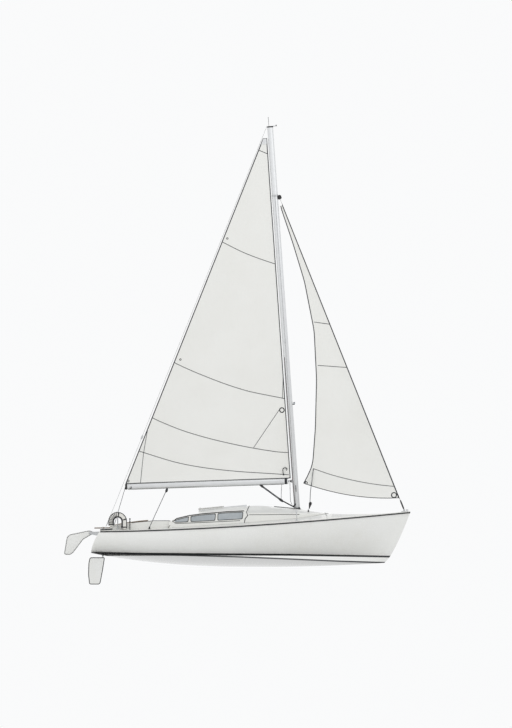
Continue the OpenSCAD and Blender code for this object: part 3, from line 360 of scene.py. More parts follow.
def attribute(tree, name):
    return addNode(tree, "Attribute", attribute_name=name).outputs["Fac"]


def darker(color, share):
    return tuple(share * c for c in color)


def finished(tree, made, color, rough, height, strength, distance):
    # colour, roughness and relief into the shader
    material, shader = made
    bump = addNode(tree, "Bump", {"Height": height, "Strength": strength, "Distance": distance})
    for value, socket in ((color, "Base Color"), (rough, "Roughness"), (bump.outputs[0], "Normal")):
        tree.links.new(value, shader.inputs[socket])
    return material


gelcoatLook = {"white": (0.86, 0.865, 0.85), "aged": (0.78, 0.775, 0.73),
               "stripe": (0.006, 0.007, 0.010), "deck": (0.80, 0.80, 0.77),
               "grip": (0.66, 0.665, 0.65), "liner": (0.74, 0.71, 0.64),
               "bottom": (0.57, 0.572, 0.565), "gloss": 0.16, "dull": 0.34}


def gelcoat(name, base, stripes=False, grip=False, worn=0.5):
    # broad fading, fine dull specks and slight waviness; stripes and grip come from attributes
    look = gelcoatLook
    tree, made = newMaterial(name, Coat_Weight=0.35, Coat_Roughness=0.06)
    where = placed(tree)
    streaks = noise(tree, placed(tree, (9, 9, 0.8)), 1.6, 5, 0.6)
    mark = sums(tree, "MULTIPLY", ranged(tree, noise(tree, where, 1.3, 5), 0.42, 0.72, 0, worn),
                ranged(tree, streaks, 0.35, 0.7, 0.3, 1))
    color = blended(tree, mark, base, look["aged"])
    fine = noise(tree, where, 46, 6, 0.6)
    rough = ranged(tree, fine, 0.3, 0.75, look["gloss"], look["dull"])
    height = noise(tree, where, 3.2, 2)
    if stripes:
        # bottom paint below the lower line; each line is where the distance from its middle,
        # in half widths, is under one
        below = ranged(tree, attribute(tree, "lowerLine"), -1.0, -0.9, 1, 0)
        color = blended(tree, below, color, look["bottom"])
        lines = [ranged(tree, sums(tree, "ABSOLUTE", attribute(tree, line)), 0.96, 1.04, 1, 0)
                 for line in ("upperLine", "lowerLine")]
        color = blended(tree, sums(tree, "MAXIMUM", *lines), color, look["stripe"])
    if grip:
        # raised grain where the deck is walked on
        tread = ranged(tree, attribute(tree, "tread"), 0.0, 0.003, 0, 1)
        grain = cells(tree, where, 260.0)
        color = blended(tree, tread, color, look["grip"])
        rough = sums(tree, "ADD", rough, sums(tree, "MULTIPLY", tread, 0.36))
        height = sums(tree, "MULTIPLY_ADD", sums(tree, "MULTIPLY", grain, tread), -0.9, height)
    return finished(tree, made, color, rough, height, 0.35, 0.0012)


def metal(name, base, rough, brushed, stain, metallic=1.0):
    # brushed along one direction, with faint stains and specks
    tree, made = newMaterial(name, Metallic=metallic)
    where = placed(tree)
    lines = noise(tree, placed(tree, brushed), 160, 3)
    clouds = noise(tree, where, 7, 5, 0.6)
    color = blended(tree, ranged(tree, clouds, 0.45, 0.8, 0, stain), base, darker(base, 0.55))
    gloss = sums(tree, "ADD", ranged(tree, lines, 0.3, 0.7, rough * 0.8, rough * 1.35),
                 ranged(tree, noise(tree, where, 240, 2), 0.62, 0.8, 0, 0.12))
    return finished(tree, made, color, gloss, lines, 0.12, 0.0002)


def rubbery(name, base, rough=0.62, grain=420.0, sheen=0.0):
    # moulded rubber or plastic with a fine grain and greyed high spots
    tree, made = newMaterial(name, Sheen_Weight=sheen)
    where = placed(tree)
    worn = noise(tree, where, 9, 5, 0.65)
    pale = tuple(0.1 + 0.8 * c for c in base)
    color = blended(tree, ranged(tree, worn, 0.5, 0.8, 0, 0.35), base, pale)
    gloss = ranged(tree, worn, 0.3, 0.8, rough * 0.85, min(1, rough * 1.2))
    return finished(tree, made, color, gloss, noise(tree, where, grain, 2), 0.25, 0.0004)


def varnishedWood(name, pale, dark, scale):
    # stretched grain lines, darker rings and pores under a glossy coat
    tree, made = newMaterial(name, Coat_Weight=0.8, Coat_Roughness=0.08)
    rings = bands(tree, placed(tree, scale), 9.0, "Z", Distortion=7.0, Detail=3.0,
                  **{"Detail Scale": 1.6})
    pores = noise(tree, placed(tree, tuple(4 * s for s in scale)), 70, 3)
    color = blended(tree, ranged(tree, rings, 0.1, 0.9, 0, 0.85), pale, dark)
    color = blended(tree, ranged(tree, pores, 0.58, 0.7, 0, 0.7), color, darker(dark, 0.5))
    return finished(tree, made, color, ranged(tree, pores, 0.3, 0.7, 0.24, 0.42), pores, 0.2, 0.0003)


def sailcloth(name, base, shade, creases=1.0):
    # woven yarns, soft creases and slight yellowing; the weave follows the piece's own map
    tree, made = newMaterial(name, Sheen_Weight=0.12, Sheen_Roughness=0.4)
    cloth = addNode(tree, "UVMap", uv_map="cloth").outputs[0]
    long = addNode(tree, "Mapping", {"Vector": cloth, "Scale": (1.2, 0.5, 1)}).outputs[0]
    soft = noise(tree, long, 2.4, 5, 0.6, 0.4)
    clouds = noise(tree, placed(tree), 0.9, 6, 0.6)
    color = blended(tree, ranged(tree, clouds, 0.4, 0.75, 0, 0.5), base, shade)
    yarns = sums(tree, "ADD", bands(tree, cloth, 130.0), bands(tree, cloth, 130.0, "Y"))
    weave = sums(tree, "MULTIPLY", yarns, 0.5)
    height = sums(tree, "MULTIPLY_ADD", weave, 0.04, sums(tree, "MULTIPLY", soft, creases))
    return finished(tree, made, color, ranged(tree, weave, 0, 1, 0.55, 0.72), height, 0.5, 0.006)


def rope(name, base, fleck):
    # crossed yarns of a braid, with flecks of a second colour and painted shade in the gaps between
    # the yarns
    tree, made = newMaterial(name, Sheen_Weight=0.25)
    yarns = [bands(tree, placed(tree, (1, 1, 1), turn), 220.0) for turn in (35, -35)]
    braid = sums(tree, "MAXIMUM", *yarns)
    flecks = noise(tree, placed(tree), 90, 2)
    color = blended(tree, ranged(tree, flecks, 0.56, 0.62, 0, 1), base, fleck)
    # painted shade: darker where the braid's relief is low, between the yarns
    color = blended(tree, ranged(tree, braid, 0.2, 0.9, 0.45, 0), color, darker(base, 0.35))
    return finished(tree, made, color, ranged(tree, braid, 0, 1, 0.85, 0.6), braid, 0.6, 0.0008)


def smokedGlass(name, clear, hazy):
    # smoked acrylic with faint haze and fine scratches
    tree, made = newMaterial(name, Coat_Weight=0.6, Coat_Roughness=0.03, IOR=1.49)
    haze = noise(tree, placed(tree), 3.5, 5, 0.6)
    scratch = noise(tree, placed(tree, (1, 1, 30)), 40, 2)
    color = blended(tree, ranged(tree, haze, 0.35, 0.75, 0, 1), clear, hazy)
    return finished(tree, made, color, ranged(tree, scratch, 0.4, 0.8, 0.05, 0.16), haze, 0.05, 0.002)


def coatedCover(name, base, shade):
    # coated fabric stretched over foam: fine weave, soft dents and rubbed folds
    tree, made = newMaterial(name, Sheen_Weight=0.3, Coat_Weight=0.12, Coat_Roughness=0.4)
    where = placed(tree)
    dents = noise(tree, where, 14, 4)
    color = blended(tree, ranged(tree, noise(tree, where, 5, 5), 0.4, 0.7, 0, 0.8), base, shade)
    height = sums(tree, "MULTIPLY_ADD", cells(tree, where, 520.0), 0.15, dents)
    return finished(tree, made, color, ranged(tree, dents, 0.3, 0.7, 0.42, 0.6), height, 0.35, 0.002)


hullGelcoat = gelcoat("hullGelcoat", gelcoatLook["white"], stripes=True)
deckGelcoat = gelcoat("deckGelcoat", gelcoatLook["deck"], grip=True)
plainGelcoat = gelcoat("plainGelcoat", gelcoatLook["deck"])
linerGelcoat = gelcoat("linerGelcoat", gelcoatLook["liner"], worn=0.3)
foilGelcoat = gelcoat("foilGelcoat", gelcoatLook["white"], worn=0.8)
strakeRubber = rubbery("strakeRubber", (0.014, 0.014, 0.016))
gasketRubber = rubbery("gasketRubber", (0.008, 0.008, 0.009), 0.5)
blackPlastic = rubbery("blackPlastic", (0.010, 0.010, 0.011), 0.45, 600)
grooveShade = rubbery("grooveShade", (0.03, 0.03, 0.032), 0.8)
anodisedAlloy = metal("anodisedAlloy", (0.74, 0.75, 0.76), 0.34, (60, 60, 0.6), 0.2, 0.9)
boomAlloy = metal("boomAlloy", (0.74, 0.75, 0.76), 0.34, (0.6, 60, 60), 0.2, 0.9)
darkAlloy = metal("darkAlloy", (0.035, 0.036, 0.04), 0.42, (20, 20, 20), 0.4, 0.6)
stainless = metal("stainless", (0.56, 0.57, 0.58), 0.2, (30, 30, 3), 0.35)
wireStrand = metal("wireStrand", (0.10, 0.105, 0.11), 0.36, (40, 40, 40), 0.4, 0.8)
wood = varnishedWood("varnishedWood", (0.27, 0.20, 0.14), (0.13, 0.09, 0.06), (0.25, 3, 3))
boardWood = varnishedWood("boardWood", (0.30, 0.21, 0.14), (0.15, 0.10, 0.065), (3, 0.3, 3))
mainCloth = sailcloth("mainCloth", (0.86, 0.86, 0.835), (0.80, 0.795, 0.76))
seamTape = sailcloth("seamTape", (0.09, 0.093, 0.098), (0.13, 0.132, 0.136), 0.2)
edgeTape = sailcloth("edgeTape", (0.035, 0.037, 0.042), (0.055, 0.056, 0.06), 0.2)
sheetRope = rope("sheetRope", (0.03, 0.035, 0.05), (0.5, 0.5, 0.5))
halyardRope = rope("halyardRope", (0.06, 0.062, 0.07), (0.35, 0.1, 0.08))
paneAcrylic = smokedGlass("paneAcrylic", (0.34, 0.375, 0.40), (0.46, 0.49, 0.51))
buoyCover = coatedCover("buoyCover", (0.80, 0.79, 0.75), (0.68, 0.67, 0.62))
strapWeb = rubbery("strapWeb", (0.02, 0.021, 0.024), 0.8, 500, 0.3)
floorPaint = rubbery("floorPaint", (0.80, 0.80, 0.79), 0.8, 60)
print("materials made")


# Hull form: deck edge, beam, keel line and sections
boat = {"sternX": -3.303, "bowX": 3.487, "footX": -3.5, "forefootX": 2.92, "rockerX": 0.3,
        "draught": 0.238, "aftRise": 0.304, "foreRise": 0.089, "halfBeam": 1.225,
        "transomHalf": 0.85, "beamStation": 0.42, "stemHalf": 0.008, "sternSheer": 0.547,
        "bowSheer": 0.967, "transomBulge": 0.037, "stemBulge": 0.16, "foreCrown": 0.112,
        "aftCrown": 0.03, "deckT": 0.012, "shellT": 0.014}


def least(*fields):
    return np.minimum.reduce(np.broadcast_arrays(*fields))


def most(*fields):
    return np.maximum.reduce(np.broadcast_arrays(*fields))


def within(values, span):
    # how far inside a span the values are
    return least(values - span[0], span[1] - values)


def smooth(k):
    c = np.clip(k, 0, 1)
    return c * c * (3 - 2 * c)


def station(x):
    return np.clip((x - boat["sternX"]) / (boat["bowX"] - boat["sternX"]), 0, 1)


def sheerZ(x):
    return mix(boat["sternSheer"], boat["bowSheer"], station(x) ** 1.6)


def halfBeam(x):
    t, widest, half = station(x), boat["beamStation"], boat["halfBeam"]
    aft = half - (half - boat["transomHalf"]) * np.maximum(1 - t / widest, 0) ** 2
    fore = half * (1 - (np.maximum(t - widest, 0) / (1 - widest)) ** 1.9)
    return np.where(t < widest, aft, np.maximum(boat["stemHalf"], fore))


def keelZ(x):
    middle = boat["rockerX"]
    aft = np.maximum(middle - x, 0) / (middle - boat["footX"])
    fore = np.maximum(x - middle, 0) / (boat["forefootX"] - middle)
    return -boat["draught"] + boat["aftRise"] * aft ** 2.5 + boat["foreRise"] * fore ** 1.9


def transomAt(v):
    return mix(boat["footX"], boat["sternX"], v) - boat["transomBulge"] * 4 * v * (1 - v)


def stemAt(v):
    return mix(boat["forefootX"], boat["bowX"], v) + boat["stemBulge"] * np.sqrt(v) * (1 - v)


def sectionPower(t):
    return mix(2.7, 1.3, t ** 2.2)


def hullPoint(t, angle, side, inset=0.0, inFore=0.0):
    # a section is a quarter of a superellipse, from the keel (0) to the deck edge (90 degrees)
    ends = boat["sternX"] + inset, boat["bowX"] - inFore
    s = station(mix(ends[0], ends[1], t))
    power = sectionPower(s)
    v = 1 - np.clip(np.cos(angle), 0, 1) ** (2 / power)
    w = np.clip(np.sin(angle), 0, 1) ** (2 / power)
    xTop = mix(boat["sternX"], boat["bowX"], s)
    xLow = mix(boat["footX"], boat["forefootX"], s)
    half = np.maximum(0.001, halfBeam(xTop) - 1.2 * inset) * w
    return point(mix(transomAt(v) + inset, stemAt(v) - inFore, t), side * half,
                 mix(keelZ(xLow) + inset, sheerZ(xTop), v))


def deckTop(x, y):
    crown = (mix(boat["aftCrown"], boat["foreCrown"], smooth((station(x) - 0.1) / 0.5))
             * np.minimum(1, (halfBeam(x) / 0.842) ** 2.6))
    return (sheerZ(x) + 0.0003 + boat["deckT"]
            + crown * (1 - np.minimum(1, np.abs(y) / halfBeam(x)) ** 2))


def endCaps(rows, columns):
    # rungs between the two halves of a row, closing a grid's first and last rows
    half, far = (columns - 1) // 2, (rows - 1) * columns
    j = np.arange(half - 1)
    rungs = np.stack([columns - 1 - j, columns - 2 - j, j + 1, j], axis=-1)
    tip = np.array([[half + 1, half, half - 1]])
    return [rungs, rungs[:, ::-1] + far, tip, tip[:, ::-1] + far]


def setAttribute(piece, name, values):
    layer = piece.data.attributes.new(name, "FLOAT", "POINT")
    layer.data.foreach_set("value", np.asarray(values, np.float32))


def pointsOf(piece):
    flat = np.empty(3 * len(piece.data.vertices))
    piece.data.vertices.foreach_get("co", flat)
    return flat.reshape(-1, 3)


# Hull skin, with the centreboard's slot and two painted lines
paint = {"upperX": (-3.5, -2.43, 0.85, 2.98, 3.4), "upperZ": (0.072, 0.050, 0.027, -0.013, -0.02),
         "upperHalf": (0.022, 0.020), "lowerX": (-3.5, -1.68, -0.24, 1.95, 2.82, 3.4),
         "lowerZ": (0.06, 0.022, -0.020, -0.114, -0.142, -0.15), "lowerHalf": 0.016}
slot = {"aft": -0.322, "fore": 1.002, "half": 0.024}
keyRows = np.array([slot["aft"], slot["fore"]])
keyShares = (keyRows - boat["footX"]) / (boat["forefootX"] - boat["footX"])
hullShares = np.unique(np.concatenate([np.linspace(0, 1, 150), keyShares]))
atBeam = halfBeam(mix(boat["sternX"], boat["bowX"], hullShares))
slotAngle = np.minimum(np.radians(20), np.arcsin(
    np.clip(slot["half"] / atBeam, 0, 1) ** (sectionPower(hullShares) / 2)))
steps = np.linspace(0, 1, 25)
quarter = np.concatenate([np.zeros((len(hullShares), 1)),
                          mix(slotAngle[:, None], np.pi / 2, steps[None])], axis=1)
angles = np.concatenate([quarter[:, :0:-1], quarter], axis=1)
sides = np.concatenate([-np.ones(quarter.shape[1] - 1), [0], np.ones(quarter.shape[1] - 1)])
outerHull = hullPoint(hullShares[:, None], angles, sides[None])
innerHull = hullPoint(hullShares[:, None], angles, sides[None], boat["shellT"], 0.06)
middle = quarter.shape[1] - 1
keepHull = np.ones((len(hullShares) - 1, angles.shape[1] - 1), bool)
inSlot = (hullShares[:-1] > keyShares[0] - 1e-6) & (hullShares[1:] < keyShares[1] + 1e-6)
keepHull[inSlot, middle - 1:middle + 1] = False
hullSkin = makePiece("hullSkin", *slabMesh(outerHull, innerHull, keepHull,
                                           endCaps(*outerHull.shape[:2])), hullGelcoat)
skin = pointsOf(hullSkin)
for line, half in (("upper", mix(*paint["upperHalf"], station(skin[:, 0]))),
                   ("lower", paint["lowerHalf"])):
    lineZ = np.interp(skin[:, 0], paint[line + "X"], paint[line + "Z"])
    setAttribute(hullSkin, line + "Line", (skin[:, 2] - lineZ) / half)
place(hullSkin, "hull", ["hull_moulding"])

# Rubbing strakes, with a rounded face
strakeX = np.linspace(boat["sternX"] + 0.005, boat["bowX"] - 0.004, 130)
strakeOut = np.array([0.0008, 0.012, 0.0165, 0.018, 0.0165, 0.012, 0.0028])
strakeDown = np.array([0.002, 0.003, 0.0065, 0.014, 0.0235, 0.028, 0.030])
strakeParts = []
for side in (-1, 1):
    y = side * (halfBeam(strakeX)[:, None] + strakeOut[None])
    z = sheerZ(strakeX)[:, None] - strakeDown[None]
    strakeParts.append(loftMesh(point(strakeX[:, None], y, z)))
build("strakes", strakeParts, strakeRubber, 40, "hull", ["rubbing_strakes"])

# Coachroof form: height of the side's top edge and of the roof's middle over the deck edge
roof = {"wingX": -1.74, "noseX": 1.684, "noseStart": 0.6, "sideDeck": 0.33, "lean": 0.2,
        "sideShare": (0, .007, .034, .072, .114, .19, .268, .356, .478, .494, .821, .958, 1),
        "sideHeight": (.128, .160, .233, .259, .286, .308, .318, .328, .321, .229, .160, .138, .128),
        "crownShare": (0, .176, .329, .45, .577, .634, .829, .866, .92, .973, 1),
        "crownHeight": (.330, .376, .425, .433, .405, .377, .267, .228, .186, .148, .131)}


def roofShare(x):
    return np.clip((x - roof["wingX"]) / (roof["noseX"] - roof["wingX"]), 0, 1)


def baseHalf(x):
    taper = np.sqrt(np.maximum(0, 1 - (np.maximum(x - roof["noseStart"], 0)
                                       / (roof["noseX"] - roof["noseStart"])) ** 2))
    return np.maximum(0.025, (halfBeam(x) - roof["sideDeck"]) * taper)


def edgeZ(x):
    return sheerZ(x) + np.interp(roofShare(x), roof["sideShare"], roof["sideHeight"])


def edgeHalf(x):
    base = baseHalf(x)
    return base - roof["lean"] * np.minimum(0.5 * base, np.maximum(0, edgeZ(x) - deckTop(x, base)))


def crownZ(x):
    return sheerZ(x) + np.interp(roofShare(x), roof["crownShare"], roof["crownHeight"])


def roofZ(x, y):
    return edgeZ(x) + (crownZ(x) - edgeZ(x)) * (1 - np.minimum(1, np.abs(y) / edgeHalf(x)) ** 2.2)


# Deck, open over the cockpit and the cabin; tread holds how far inside a grip panel a point is
deckPlan = {"aftX": -2.6626, "foreX": 1.6, "openHalf": 0.6526, "rim": 0.016}
deckX = np.unique(np.concatenate([np.linspace(boat["sternX"], boat["bowX"], 150),
                                  [deckPlan["aftX"], deckPlan["foreX"]]]))
openHalf = np.minimum(deckPlan["openHalf"], baseHalf(deckX) - deckPlan["rim"])
openHalf = np.minimum(np.maximum(openHalf, 0.01), 0.9 * halfBeam(deckX))
across = np.linspace(0, 1, 9)
sideDeck = mix(openHalf[:, None], halfBeam(deckX)[:, None], np.linspace(0, 1, 13))
halfDeck = np.concatenate([openHalf[:, None] * across[None, :-1], sideDeck], axis=1)
deckY = np.concatenate([-halfDeck[:, :0:-1], halfDeck], axis=1)
topDeck = point(deckX[:, None], deckY, deckTop(deckX[:, None], deckY))
lowDeck = topDeck - np.array([0, 0, boat["deckT"]])
keepDeck = np.ones((len(deckX) - 1, deckY.shape[1] - 1), bool)
overCockpit = (deckX[:-1] > deckPlan["aftX"] - 1e-6) & (deckX[1:] < deckPlan["foreX"] + 1e-6)
middle = deckY.shape[1] // 2
keepDeck[overCockpit, middle - 8:middle + 8] = False
deck = makePiece("deck", *slabMesh(topDeck, lowDeck, keepDeck), deckGelcoat)
place(deck, "hull", ["deck_moulding"])
grips = {"rim": 0.075, "sideDeck": (-1.62, 1.55), "sideGap": 0.04, "foredeck": (1.76, 2.95),
         "foreGap": 0.03, "aftDeck": (-3.21, -2.74), "aftGap": 0.12, "roofRim": 0.06,
         "besideHatch": 0.345, "roof": (-1.08, 1.38), "front": (1.29, 1.5), "ahead": (-0.02, 0.42),
         "seat": ((-2.52, -1.2), (0.27, 0.60)), "well": ((-2.47, -1.2), 0.19)}
deckPoints = pointsOf(deck)
px, py = deckPoints[:, 0], np.abs(deckPoints[:, 1])
inEdge = halfBeam(px) - py - grips["rim"]
sideGrip = least(inEdge, py - baseHalf(px) - grips["sideGap"], within(px, grips["sideDeck"]))
foreGrip = least(inEdge, py - grips["foreGap"], within(px, grips["foredeck"]))
aftGrip = least(inEdge, py - grips["aftGap"], within(px, grips["aftDeck"]))
setAttribute(deck, "tread", most(sideGrip, foreGrip, aftGrip))

# Coachroof: a shell whose side meets the roof in a rounded edge
shellCut = {"bulkheadX": -1.15, "hatchAft": -1.17, "hatchFore": -0.64, "hatchHalf": 0.27,
            "lip": 0.022, "edgeRound": 0.028, "wall": 0.012}


def roofRing(x, inset):
    # half section from the middle of the roof out to the foot of the side
    x = x[:, None]
    base = np.concatenate([baseHalf(x) - inset, deckTop(x, baseHalf(x)) + 0.0017], axis=1)
    half, edge, crown = edgeHalf(x), edgeZ(x), crownZ(x)
    inside = np.minimum(shellCut["hatchHalf"], 0.62 * half)
    last = np.maximum(half - shellCut["lip"], 0.8 * half)
    flat = np.concatenate([inside * np.linspace(0, 1, 8)[None, :-1],
                           mix(inside, last, np.linspace(0, 1, 10))], axis=1)
    flatZ = edge + (crown - edge) * (1 - np.minimum(1, flat / half) ** 2.2) - inset
    flat = np.minimum(flat, np.maximum(half - inset, 0.2 * half))
    corner = np.stack([half - inset, edge - inset], axis=-1)[:, 0]
    drop = np.minimum(shellCut["edgeRound"], 0.5 * np.maximum(corner[:, 1] - base[:, 1], 0.001))
    down = unit(base - corner)
    sideTop = corner + down * drop[:, None]
    start = np.stack([flat[:, -1], flatZ[:, -1]], axis=-1)
    k = np.linspace(0, 1, 7)[None, 1:, None]
    bend = ((1 - k) ** 2 * start[:, None] + 2 * k * (1 - k) * corner[:, None]
            + k ** 2 * sideTop[:, None])
    side = mix(sideTop[:, None], base[:, None], np.linspace(0, 1, 7)[None, 1:, None])
    y = np.concatenate([flat, bend[..., 0], side[..., 0]], axis=1)
    z = np.concatenate([flatZ, bend[..., 1], side[..., 1]], axis=1)
    return np.concatenate([-y[:, :0:-1], y], axis=1), np.concatenate([z[:, :0:-1], z], axis=1)


tableX = mix(roof["wingX"], roof["noseX"], np.array(roof["sideShare"] + roof["crownShare"]))
nose = roof["noseX"] - 0.5 * (1 - np.sin(np.linspace(0, np.pi / 2, 24)))
roofX = np.unique(np.round(np.concatenate([
    np.linspace(roof["wingX"], 1.2, 120), tableX, nose,
    [shellCut["bulkheadX"], shellCut["hatchAft"], shellCut["hatchFore"]]]), 5))
outY, outZ = roofRing(roofX, 0.0)
inY, inZ = roofRing(roofX, shellCut["wall"])
# the wing's aft end leans back towards its foot
lean = 0.06 * smooth(1 - (roofX - roof["wingX"]) / 0.16)[:, None] * smooth(
    (outZ.max(axis=1, keepdims=True) - outZ) / 0.2)
aftLean = np.where(np.abs(outY) > edgeHalf(roofX)[:, None] - 0.03, lean, 0)
keepRoof = np.ones((len(roofX) - 1, outY.shape[1] - 1), bool)
middle = outY.shape[1] // 2
wingRows = roofX[1:] < shellCut["bulkheadX"] + 1e-6
keepRoof[wingRows, middle - 16:middle + 16] = False
hatchRows = (roofX[:-1] > shellCut["hatchAft"] - 1e-6) & (roofX[1:] < shellCut["hatchFore"] + 1e-6)
keepRoof[hatchRows, middle - 7:middle + 7] = False
outerRoof = point(roofX[:, None] - aftLean, outY, outZ)
innerRoof = point(np.clip(roofX, None, 1.62)[:, None] - aftLean, inY, inZ)
coachroof = makePiece("coachroof", *slabMesh(outerRoof, innerRoof, keepRoof), deckGelcoat, 28)
place(coachroof, "hull", ["coachroof"])
roofPoints = pointsOf(coachroof)
px, py = roofPoints[:, 0], np.abs(roofPoints[:, 1])
inRim = edgeHalf(px) - grips["roofRim"] - py
roofGrip = least(inRim, py - grips["besideHatch"], within(px, grips["roof"]))
frontGrip = least(inRim, within(px, grips["front"]))
aheadGrip = least(inRim, within(px, grips["ahead"]))
onTop = roofPoints[:, 2] - edgeZ(px) + 0.004
setAttribute(coachroof, "tread", least(most(roofGrip, frontGrip, aheadGrip), onTop))
print("hull, deck and coachroof made")


def strapAlong(path, normal, width, thick):
    # flat strip along a path, lying square to the normals given
    path, normal = np.asarray(path, float), unit(np.asarray(normal, float))
    tangent = unit(np.gradient(path, axis=0))
    across = unit(np.cross(tangent, normal))
    corner = np.array([[-1, 0], [1, 0], [1, 0.7], [0.8, 1], [-0.8, 1], [-1, 0.7]])
    rings = (path[:, None] + 0.5 * width * across[:, None] * corner[None, :, :1]
             + thick * normal[:, None] * corner[None, :, 1:])
    return loftMesh(rings)


def sideAt(x, z, side, out=0.0):
    # a place on the cabin's leaning side, by height, moved out
    low, high = deckTop(x, baseHalf(x)), edgeZ(x)
    share = (z - low) / np.maximum(high - low, 0.01)
    return point(x, side * (mix(baseHalf(x), edgeHalf(x), share) + out), z)


# Windows: three panes a side under the roof's edge, each in a dark gasket
windows = {"spans": ((-1.716, -1.366), (-1.312, -0.778), (-0.722, -0.178)), "margin": 0.034,
           "sill": 0.15, "corner": 0.03, "gasket": 0.013, "proud": 0.0015}


def paneOutline(span, grow=0.0):
    a, b = span[0] - grow, span[1] + grow
    x = np.concatenate([[a], np.linspace(a + 0.014, b - 0.034, 9), [b - 0.016], np.linspace(b, a, 9)])
    sill = sheerZ(x) + windows["sill"] - grow
    top = np.maximum(sill + 0.026 + 2 * grow, edgeZ(x) - windows["margin"] + grow)
    z = np.concatenate([[sill[0] + 0.012], sill[1:10], [sill[10] + 0.012], top[11:]])
    return roundedOutline(np.stack([x, z], axis=-1), windows["corner"], 5)


def paneMesh(outline, side, low, high):
    # rings of an outline, ever smaller about its middle, laid on the cabin side
    middle = outline.mean(axis=0)
    rings = []
    for share, out in ((1, low), (1, high - 0.001), (0.996, high), (0.85, high), (0.65, high),
                       (0.45, high), (0.25, high), (0.06, high)):
        flat = middle + (outline - middle) * share
        rings.append(sideAt(flat[:, 0], flat[:, 1], side, out))
    return loftMesh(np.stack(rings))


for side, sideName in ((-1, "starboard"), (1, "port")):
    panes = [paneMesh(paneOutline(span), side, -0.004, windows["proud"] + 0.001)
             for span in windows["spans"]]
    build("panes_" + sideName, panes, paneAcrylic, 50, "hull",
          ["windows_" + sideName])
    gaskets, proud = [], windows["proud"]
    for span in windows["spans"]:
        inner, outer = paneOutline(span, -0.002), paneOutline(span, windows["gasket"] - 0.002)
        gaskets.append(hoopMesh(np.stack([
            sideAt(line[:, 0], line[:, 1], side, out) for line, out in
            ((inner, -0.003), (inner, proud + 0.003), (outer, proud + 0.002), (outer, -0.003))])))
    build("gaskets_" + sideName, gaskets, gasketRubber, 50, "hull")

    # painted shade line: a dark strip along the step where the high cabin side drops to the low one
    corners = [[-0.042, 1.089], [-0.098, 0.967], [-0.074, 0.888], [-0.131, 0.809], [-0.142, 0.731]]
    doubled = np.repeat(corners, 2, axis=0) + np.tile([[0, 0.004], [0, -0.004]], (5, 1))
    x, z = curveThrough(doubled, 60).T
    edge, crown = edgeZ(x), crownZ(x)
    share = np.clip((z - edge) / np.maximum(crown - edge, 0.01), 0, 0.98)
    onRoof = point(x, side * edgeHalf(x) * (1 - share) ** (1 / 2.2), z)
    over = (z > edge)[:, None]
    path = np.where(over, onRoof, sideAt(x, np.minimum(z, edge), side))
    normal = np.where(over, [0.1, side * 0.5, 1.0], [0, side * 1.0, 0.2])
    build("step_shade_line_" + sideName, [strapAlong(path, normal, 0.016, 0.004)], grooveShade, 60,
          "hull")

# Companionway: three varnished washboards, each with a rounded top edge
boards = {"low": 0.4304, "high": 0.9749, "half": 0.2596, "aft": -1.147, "fore": -1.133,
          "gap": 0.0006}
boardHeight = (boards["high"] - boards["low"]) / 3
outline = roundedBox2d(2 * boards["half"], boardHeight - boards["gap"], 0.004)
spots, faces = plateMesh(outline, boards["aft"], boards["fore"], 0.003)
middles = boards["low"] + (np.arange(3) + 0.5) * boardHeight
boardParts = [(point(spots[:, 1], spots[:, 0], spots[:, 2] + z), faces) for z in middles]
build("washboards", boardParts, boardWood, 40, "hull", ["washboards"])

# Cockpit: a tray of rounded steps from the coamings down to the foot well, open in front
tub = {"foreX": -1.1506, "wall": 0.012, "seatZ": 0.33, "floorZ": 0.08,
       "steps": ((0.650, -2.660, 0.060, 0.662), (0.641, -2.651, 0.050, 0.659),
                 (0.640, -2.650, 0.050, 0.650), (0.640, -2.650, 0.050, 0.350),
                 (0.636, -2.646, 0.046, 0.338), (0.625, -2.635, 0.040, 0.331),
                 (0.610, -2.620, 0.035, 0.330), (0.262, -2.582, 0.045, 0.330),
                 (0.245, -2.565, 0.043, 0.3285), (0.234, -2.554, 0.041, 0.322),
                 (0.230, -2.550, 0.040, 0.310), (0.230, -2.550, 0.040, 0.105),
                 (0.225, -2.545, 0.036, 0.090), (0.210, -2.530, 0.030, 0.081),
                 (0.195, -2.515, 0.026, 0.080), (0.100, -2.420, 0.020, 0.080),
                 (0.0005, -2.320, 0.0004, 0.080))}
trayRows = []
for half, aftX, radius, z in tub["steps"]:
    run = np.linspace(tub["foreX"], aftX + radius, 26)
    bend = np.linspace(0, np.pi / 2, 8)[1:-1]
    cornerX = aftX + radius - radius * np.sin(bend)
    cornerY = half - radius + radius * np.cos(bend)
    stern = np.linspace(half - radius, -half + radius, 17)
    x = np.concatenate([run, cornerX, np.full(17, aftX), cornerX[::-1], run[::-1]])
    y = np.concatenate([np.full(26, half), cornerY, stern, -cornerY[::-1], np.full(26, -half)])
    trayRows.append(point(x, y, z))
tray = np.stack(trayRows)
cockpit = makePiece("cockpit", tray.reshape(-1, 3), [gridFaces(tray.shape[:2])], deckGelcoat)
wallMaker = cockpit.modifiers.new("wall", "SOLIDIFY")
wallMaker.thickness, wallMaker.offset = tub["wall"], -1
trayPoints = pointsOf(cockpit)
tx, ty, tz = trayPoints[:, 0], np.abs(trayPoints[:, 1]), trayPoints[:, 2]
seatGrip = least(within(tx, grips["seat"][0]), within(ty, grips["seat"][1]))
floorGrip = least(within(tx, grips["well"][0]), grips["well"][1] - ty)
onFloor = np.where(np.abs(tz - tub["floorZ"]) < 0.002, floorGrip, -0.05)
setAttribute(cockpit, "tread", np.where(np.abs(tz - tub["seatZ"]) < 0.002, seatGrip, onFloor))
place(cockpit, "hull", ["cockpit_tub"])
drain = [[0.001, 0], [0.024, 0], [0.026, 0.002], [0.018, 0.003], [0.016, 0.001], [0.001, 0.001]]
drains = [spunMesh(drain, (-2.46, y, 0.0805), (0, 0, 1)) for y in (-0.15, 0.15)]
build("cockpit_drains", drains, stainless, 40, "hull")

